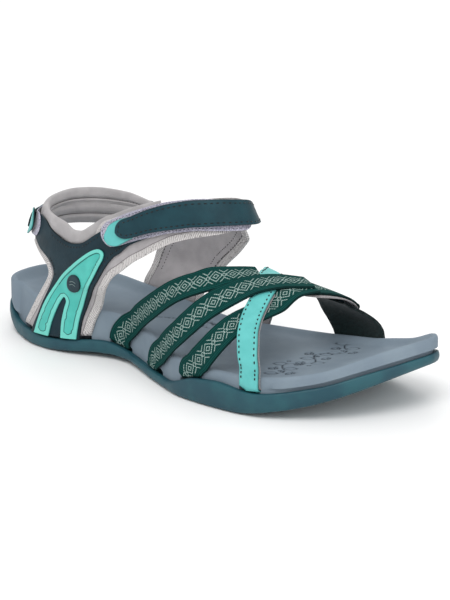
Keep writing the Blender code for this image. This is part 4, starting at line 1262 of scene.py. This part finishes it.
def footbed_top(edge):
    """The dished top inside its edge ring, with lines pressed into it: points, faces, and depth shares, which
    also set the painted shade in the lines.
    """
    loop = [(point.x, point.y) for point in edge]
    lines = [[(x, LENGTH / 2 - back) for x, back in line]
             for line in HEEL_MARKS + arch_marks() + vine_marks()]
    half, deep = 0.7, 0.7
    flat = list(loop)
    for line in lines:
        for k, (x, y) in enumerate(line):
            before, after = Vector(line[max(k - 1, 0)]), Vector(line[min(k + 1, len(line) - 1)])
            along = (after - before).normalized()
            flat += [(x, y), (x - along.y * half, y + along.x * half),
                     (x + along.y * half, y - along.x * half)]
    low_x, high_x = min(x for x, _ in loop), max(x for x, _ in loop)
    low_y, high_y = min(y for _, y in loop), max(y for _, y in loop)
    grid = []
    spacing = 1.7
    y = low_y
    while y < high_y:
        x = low_x
        while x < high_x:
            grid.append((x, y))
            x += spacing
        y += spacing
    near_line = closeness(grid, lines)
    near_edge = closeness(grid, [loop + loop[:1]])
    flat += [place for place, line, away in zip(grid, near_line, near_edge)
             if line > half + 0.35 and away > 1.0 and inside_loop(loop, place)]
    count = len(loop)
    kept = flat[:count] + [place for place in flat[count:] if inside_loop(loop, place)]
    made, _, triangles, origin, _, _ = geometry.delaunay_2d_cdt(
        [Vector(place) for place in kept], [(i, (i + 1) % count) for i in range(count)], [], 1, 1e-4)
    order = {}
    for new, sources in enumerate(origin):
        for source in sources:
            if source < count:
                order[source] = new
    places = [(point.x, point.y) for point in made]
    to_line = closeness(places, lines)
    to_edge = closeness(places, [loop + loop[:1]])
    renumber = [-1] * len(places)
    for source in range(count):
        renumber[order[source]] = source
    following = count
    for i in range(len(places)):
        if renumber[i] < 0:
            renumber[i] = following
            following += 1
    points = [None] * len(places)
    pressed = [0.0] * len(places)
    for i, (x, y) in enumerate(places):
        back = clamp(LENGTH / 2 - y, 0, LENGTH)
        settle = ease(0.0, 7.0, to_edge[i])
        height = RIM_TOP(back) - DISH_DEPTH(back) * (0.9 + 0.1 * settle)
        press = max(0.0, 1 - to_line[i] / half)
        points[renumber[i]] = Vector((x, y, height - deep * press))
        pressed[renumber[i]] = press
    for source in range(count):
        points[source] = edge[source]
        pressed[source] = 0.0
    faces = [tuple(renumber[i] for i in face) for face in triangles]
    return points, faces, pressed


# ---- the upper's rear -----------------------------------------------------------------------

def quarters(finishes):
    lateral_lining = Panel(rear, QUARTER_LINING_OUTLINE)
    lateral_lining.build("outer_quarter_lining", 0.0, LINING, finishes["lining"], "sandal", "grey_lining",
                         ["lateral_quarter_lining"], profile=bound_edge, extra=(3.4, 3.9))
    lateral = Panel(straight_rear, QUARTER_OUTLINE)
    lateral.build("outer_quarter", SECOND, SHEET, finishes["teal"], "sandal", "teal_synthetic",
                  ["lateral_quarter"])
    stitches("outer_quarter_stitches", lateral.stitch_lines(2.0, 1.9, SECOND + SHEET, 10), away_from_foot,
             finishes["black_thread"], "sandal", 1.1, 0.34)
    overlay = Panel(straight_rear, OVERLAY_OUTLINE, spacing=1.6)
    overlay.build("outer_overlay", THIRD, OVERLAY, finishes["overlay"], "sandal", "mint_synthetic",
                  ["lateral_overlay"], profile=moulded_rim, rings=(0.25, 0.7, 1.2),
                  extra=(1.7, 2.05, 2.4, 2.9))
    ring = [(74.8 + 3.1 * math.cos(t) - 0.6 * math.sin(t), 39.8 + 4.8 * math.sin(t) + 0.9 * math.cos(t))
            for t in [math.radians(20 * k) for k in range(18)]]
    badge = Panel(rear, ring, spacing=0.8, steps=2)
    badge.build("outer_badge", THIRD + OVERLAY - 0.1, 0.8, finishes["badge"], "sandal", "teal_synthetic",
                ["lateral_badge"], rings=(0.3, 0.7), extra=(1.0, 1.3))
    mark_lines = [[rear(73.6 + 2.4 * k / 8, height + 0.5 * math.sin(math.pi * k / 8), THIRD + OVERLAY + 0.85)
                   for k in range(9)] for height in (39.0, 40.6)]
    stitches("outer_badge_mark", mark_lines, away_from_foot, finishes["mark"], "sandal",
             0.7, 0.17)
    medial_lining = Panel(rear, MEDIAL_LINING_OUTLINE)
    medial_lining.build("inner_quarter_lining", 0.0, LINING, finishes["lining"], "sandal", "grey_lining",
                        ["medial_quarter_lining"], profile=bound_edge, extra=(3.4, 3.9))
    medial = Panel(rear, MEDIAL_OUTLINE)
    medial.build("inner_quarter", SECOND, SHEET, finishes["teal"], "sandal", "teal_synthetic",
                 ["medial_quarter"])
    stitches("inner_quarter_stitches", medial.stitch_lines(2.0, 1.9, SECOND + SHEET, 10), away_from_foot,
             finishes["black_thread"], "sandal", 1.1, 0.34)
    for name, panel in (("outer", lateral_lining), ("inner", medial_lining)):
        lines = panel.stitch_lines(4.3, 1.7, -0.02, 24)
        if name == "inner":
            lines += panel.stitch_lines(7.5, 1.7, 0.05, 24)
        stitches(name + "_lining_stitches", lines, toward_foot, finishes["black_thread"], "sandal",
                 1.1, 0.26)
    band = Strap(rear, [(29.5, 61.5), (15, 61.5), (0, 62.5), (-20, 64.5), (-40, 65.5), (-60.5, 65.5)],
                 13.5, SECOND, SHEET)
    band.build("heel_band_sheet", finishes["teal"], "sandal", "mint_synthetic", ["heel_band"])


def bound_edge(away):
    """A lining's thickness share: a plump bound edge, a stitched line, then the flat cloth."""
    if away < 3.4:
        return 0.62 + 0.38 * math.sqrt(ease(-0.5, 1.3, away))
    return 0.82 + 0.1 * ease(3.9, 6.0, away)


def moulded_rim(away):
    """The overlay's thickness share: a raised rim, a groove, then a flat middle."""
    if away < 1.7:
        return 0.6 + 0.4 * math.sin(math.pi / 2 * ease(-0.4, 0.9, away))
    return 0.55 if away < 2.4 else 0.85


def collar_section(angle, turn):
    """The padded collar's section: turn 0 outwards, 90 up, 180 towards the foot."""
    top, bottom = COLLAR_TOP(angle), COLLAR_BOTTOM(angle)
    thin = ease(55, 100, angle)
    inner = COLLAR_INNER * (1 - 0.55 * thin)
    outer = COLLAR_OUTER - 1.7 * ease(76, 86, angle)
    tall, deep = (top - bottom) / 2, (outer - inner) / 2
    cosine, sine = math.cos(math.radians(turn)), math.sin(math.radians(turn))
    square = 2 / 2.5
    off = (outer + inner) / 2 + deep * math.copysign(abs(cosine) ** square, cosine)
    share = math.copysign(abs(sine) ** square, sine)
    if cosine < 0:
        for line, width in COLLAR_SEAMS:
            off += 1.1 * (1 - thin) * max(0.0, 1 - ((share - line) / width) ** 2) ** 2
    return rear(angle, (top + bottom) / 2 + tall * share, off)


COLLAR_SEAMS = [(-0.45, 0.16), (0.18, 0.12), (0.42, 0.12)]    # stitched channels, as height shares


def collar(finishes):
    stations, count = 112, 72
    points, fields = [], {"edge": [], "run": []}
    for i in range(stations + 1):
        share = i / stations
        angle = COLLAR_START + (COLLAR_END - COLLAR_START) * share
        for k in range(count):
            points.append(collar_section(angle, 360 * k / count))
            fields["edge"].append(9.0)
            fields["run"].append(0.0)
    made = make_piece("heel_collar_pad", points, loft_faces(count, stations + 1), finishes["collar"],
                      "sandal", ["heel_collar_cover", "heel_collar_foam"], fields)
    lines = []
    for line, _ in COLLAR_SEAMS:
        turn = 180 - math.degrees(math.asin(math.copysign(abs(line) ** 1.25, line)))
        line_places = []
        steps = 112
        for i in range(steps + 1):
            angle = COLLAR_START + 2 + (COLLAR_END - COLLAR_START - 4) * i / steps
            line_places.append(collar_section(angle, turn))
        lines.append(line_places)
    stitches("heel_collar_stitches", lines, toward_foot, finishes["grey_thread"], "sandal",
             1.3, 0.3)
    binding = Strap(rear, [(-70, 58), (-40, 57.3), (0, 56.3), (30, 57), (45, 59.3), (57, 61)], 4.2, -0.9, 0.8)
    binding.build("heel_collar_binding", finishes["binding"], "sandal", "grey_lining", rows=6)


def toward_foot(place):
    return -away_from_foot(place)


def closing_straps(finishes):
    """The hook-and-loop straps over the instep and round the heel, and what they close on."""
    loop, hook = finishes["loop"], finishes["hook"]
    heel_loop = Strap(rear, [(40, 63), (30, 62), (20, 61.5), (0, 62.5), (-20, 64), (-34, 65)], 13.0, THIRD,
                      TAPE, round_ends=(4, 0))
    heel_loop.build("heel_loop_tape", loop, "sandal", "loop_tape", ["heel_loop_strip"])
    heel_hook = Strap(rear, [(26, 62), (15, 61.5), (0, 62.5), (-12, 63.5)], 10.5, HOOK, TAPE)
    heel_hook.build("heel_hook_tape", hook, "heel_strap", "hook_tape", ["heel_hook_pad"])
    lift = [(-70, THIRD - BASE), (-52, THIRD - BASE), (-38, 0), (20, 0), (37, 1.2)]
    base = Strap(rear, [(37, 66), (30, 63.5)] + HEEL_ROUTE, 13.0, BASE, SHEET, lift, (5, 0))
    blend_at_fold(base.build("heel_strap_underlay", finishes["mint"], None, "mint_synthetic",
                             ["heel_strap_base"]), base, 1)
    top = Strap(rear, [(21, 61.2)] + HEEL_ROUTE[1:], 10.5, TOP, SHEET, lift, (5, 0))
    blend_at_fold(top.build("heel_strap_overlay", finishes["top"], None, "teal_synthetic",
                            ["heel_strap_top"]), top, 1)
    seams = stitches("heel_strap_stitches", top.row(1.6, 5.5, top.length - 2, 2.7, (True, False)),
                     away_from_foot, finishes["black_thread"], None)
    blend_at_fold(seams, top, 1)
    instep_loop = Strap(rear, [(87, 68.5), (92, 71), (100, 75), (112, 79.5), (127, 83.5), (147, 85.4),
                               (160, 84.9), (172, 83.8), (180, 82.6), (190, 81)],
                        [(0, 13), (0.2, 15.5), (0.6, 17), (0.9, 17), (1, 14)], THIRD, TAPE, round_ends=(7, 5))
    instep_loop.build("instep_loop_tape", loop, "sandal", "loop_tape", ["instep_loop_strip"])
    stitches("instep_loop_stitches", instep_loop.row(1.3, 8, instep_loop.length - 1, 2.0, (True, False)),
             away_from_foot, finishes["dark_thread"], "sandal", 0.9, 0.2)
    instep_hook = Strap(rear, [(96, 73), (104, 77), (114, 81), (127, 84.5), (141, 86.6)], 10.0, HOOK, TAPE)
    instep_hook.build("instep_hook_tape", hook, "instep_strap", "hook_tape", ["instep_hook_pad"])
    lift = [(86, 0), (183, 0), (204, THIRD - BASE), (215, THIRD - BASE)]
    base = Strap(wrapped_rear, [(89, 67.5), (95, 72)] + INSTEP_ROUTE,
                 [(0, 11), (0.1, 13), (0.22, 11), (0.45, 12.5), (0.8, 12.5), (1, 11)],
                 BASE, SHEET, lift, (6, 0))
    blend_at_fold(base.build("instep_strap_underlay", finishes["mint"], None, "mint_synthetic",
                             ["instep_strap_base"]), base, 1)
    top = Strap(wrapped_rear, [(95, 72.5), (99, 74.7)] + INSTEP_ROUTE,
                [(0, 10), (0.15, 11.8), (0.45, 14.4), (0.8, 14.4), (1, 12)],
                TOP, SHEET, lift, (5.5, 0), crown=0.3)
    blend_at_fold(top.build("instep_strap_overlay", finishes["top"], None, "teal_synthetic",
                            ["instep_strap_top"]), top, 1)
    seams = stitches("instep_strap_stitches", top.row(1.9, 6, top.length - 2, 2.7, (True, False)),
                     away_from_foot, finishes["black_thread"], None)
    blend_at_fold(seams, top, 1)


def blend_at_fold(piece, strap, sewn_end):
    """Bakes a closing strap's placement into its mesh; the strap is not bent at its root."""
    soft = 7.0
    run = strap.length if sewn_end else 0.0
    away = strap.length - soft if sewn_end else soft
    start = (strap.at(run, 0.0, 0.0) + SHIFT) * MM
    end = (strap.at(away, 0.0, 0.0) + SHIFT) * MM
    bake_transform(piece)


# ---- the forefoot ---------------------------------------------------------------------------

def crossing_straps(finishes):
    """The three woven straps and the smooth strap that crosses them."""
    web = finishes["web"]
    woven = (
        ("rear", REAR_WEB, [(0, 0), (30, 0.2), (58, 1.6), (72, 3.9), (95, 3.9)]),
        ("middle", MIDDLE_WEB + [(106, 190.4)],
         [(0, 0), (20, 0.2), (44, 1.8), (58, 3.9), (74, 5.6), (92, 6.0), (106, 6.0)]),
        ("front", FRONT_WEB, [(0, 0), (72, 0), (90, 4.6), (105, 4.7)]))
    for name, route, lift in woven:
        strap = Strap(web_fore, route, 14.0, 0, WEB, lift, crown=0.15)
        strap.build("woven_strap_" + name, web, "sandal", "woven_strap", ["webbing_" + name], rows=14)
    lift = [(5, 0), (22, 1.5), (60, 1.5), (78, 3.0), (90, 2.8), (106, 0)]
    backing, leather = 0.6, 1.0
    under = Strap(fore, CROSS, 11.5, 0, backing, lift)
    under.build("cross_strap_backing", finishes["band_lining"], "sandal", "grey_lining",
                ["cross_strap_lining"])
    smooth = Strap(fore, CROSS, 11.0, backing + SKIN, leather, lift, crown=0.35)
    smooth.build("cross_strap_sheet", finishes["mint"], "sandal", "mint_synthetic", ["cross_strap"])
    stitches("cross_strap_stitches", smooth.row(1.5, 11, smooth.length - 11, 2.9), out_of_forefoot,
             finishes["black_thread"], "sandal", 1.5, 0.42)


def forefoot_closure(finishes):
    """The woven tab that closes over the anchor on the inner side of the forefoot."""
    width = [(0, 19), (0.3, 22), (0.5, 27), (0.7, 29), (1, 29)]
    anchor_lining, leather, pad, tab_lining = 0.7, 0.8, 0.5, 0.6
    long_anchor = [(134, 190), (142, 189.5)] + ANCHOR
    off = 0.0
    Strap(fore, long_anchor, width, off, anchor_lining).build(
        "anchor_backing", finishes["backing"], "sandal", "dark_backing", ["forefoot_anchor_lining"])
    off += anchor_lining + SKIN
    Strap(fore, long_anchor, width, off, leather).build(
        "anchor_sheet", finishes["teal"], "sandal", "dark_backing", ["forefoot_anchor"])
    off += leather + SKIN
    Strap(fore, [(153, 190), (158, 191.5), (162, 193)], 18, off, pad).build(
        "tab_hook_tape", finishes["hook"], "forefoot_closure", "hook_tape", ["forefoot_hook_pad"])
    off += pad + SKIN
    tab_width = [(0, 11), (0.3, 17), (0.6, 21), (1, 23)]
    long_tab = [(97, 191)] + TAB
    under_width = [(0, 11), (0.25, 20), (0.6, 22.5), (1, 21.5)]
    under = Strap(fore, long_tab, under_width, off, tab_lining, round_ends=(0, 3))
    blend_at_fold(under.build("tab_backing", finishes["band_lining"], None, "grey_lining",
                              ["forefoot_tab_lining"]), under, 0)
    off += tab_lining + SKIN
    tab = Strap(fore, long_tab, tab_width, off, WEB, round_ends=(0, 3), crown=0.25)
    blend_at_fold(tab.build("tab_woven", finishes["web"], None, "woven_strap", ["forefoot_tab"], rows=18),
                  tab, 0)


# ---- the studio -----------------------------------------------------------------------------

TARGET = Vector((9.43, -7.12, 34.7)) * MM
DISTANCE = 1.4
TOWARD_CAMERA = Vector((-0.7350, -0.6164, 0.2825)).normalized()
LENS = 162.4


def studio(finishes):
    bpy.ops.mesh.primitive_plane_add(size=12.0, location=(0, 0, -0.0004))
    floor = bpy.context.object
    floor.name = "studio_floor"
    floor.data.materials.append(finishes["floor"])
    camera_data = bpy.data.cameras.new("camera")
    camera_data.lens = LENS
    camera_data.sensor_width = 36.0
    camera_data.clip_start = 0.05
    camera = bpy.data.objects.new("camera", camera_data)
    camera.location = TARGET + TOWARD_CAMERA * DISTANCE
    camera.rotation_mode = "QUATERNION"
    camera.rotation_quaternion = (-TOWARD_CAMERA).to_track_quat("-Z", "Y")
    bpy.context.scene.collection.objects.link(camera)
    bpy.context.scene.camera = camera
    lamp("key", (-0.9, -0.5, 1.5), 1.1, 13.0)
    lamp("fill", (-0.2, -1.6, 0.8), 1.2, 6.0)
    lamp("back", (1.3, 1.0, 1.2), 1.2, 8.0)
    world = bpy.data.worlds.new("studio")
    world.use_nodes = True
    world.node_tree.nodes["Background"].inputs["Color"].default_value = (1.0, 1.0, 1.0, 1.0)
    world.node_tree.nodes["Background"].inputs["Strength"].default_value = 0.75
    bpy.context.scene.world = world
    bpy.context.scene.view_settings.view_transform = "Standard"


def lamp(name, place, size, energy):
    data = bpy.data.lights.new(name, "AREA")
    data.shape = "DISK"
    data.size = size
    data.energy = energy
    made = bpy.data.objects.new(name, data)
    made.location = place
    made.rotation_mode = "QUATERNION"
    made.rotation_quaternion = (-Vector(place)).to_track_quat("-Z", "Y")
    bpy.context.scene.collection.objects.link(made)


def build():
    finishes = make_finishes()
    studio(finishes)
    outsole(finishes["rubber"])
    footbed(finishes["footbed"])
    quarters(finishes)
    collar(finishes)
    closing_straps(finishes)
    crossing_straps(finishes)
    forefoot_closure(finishes)


build()
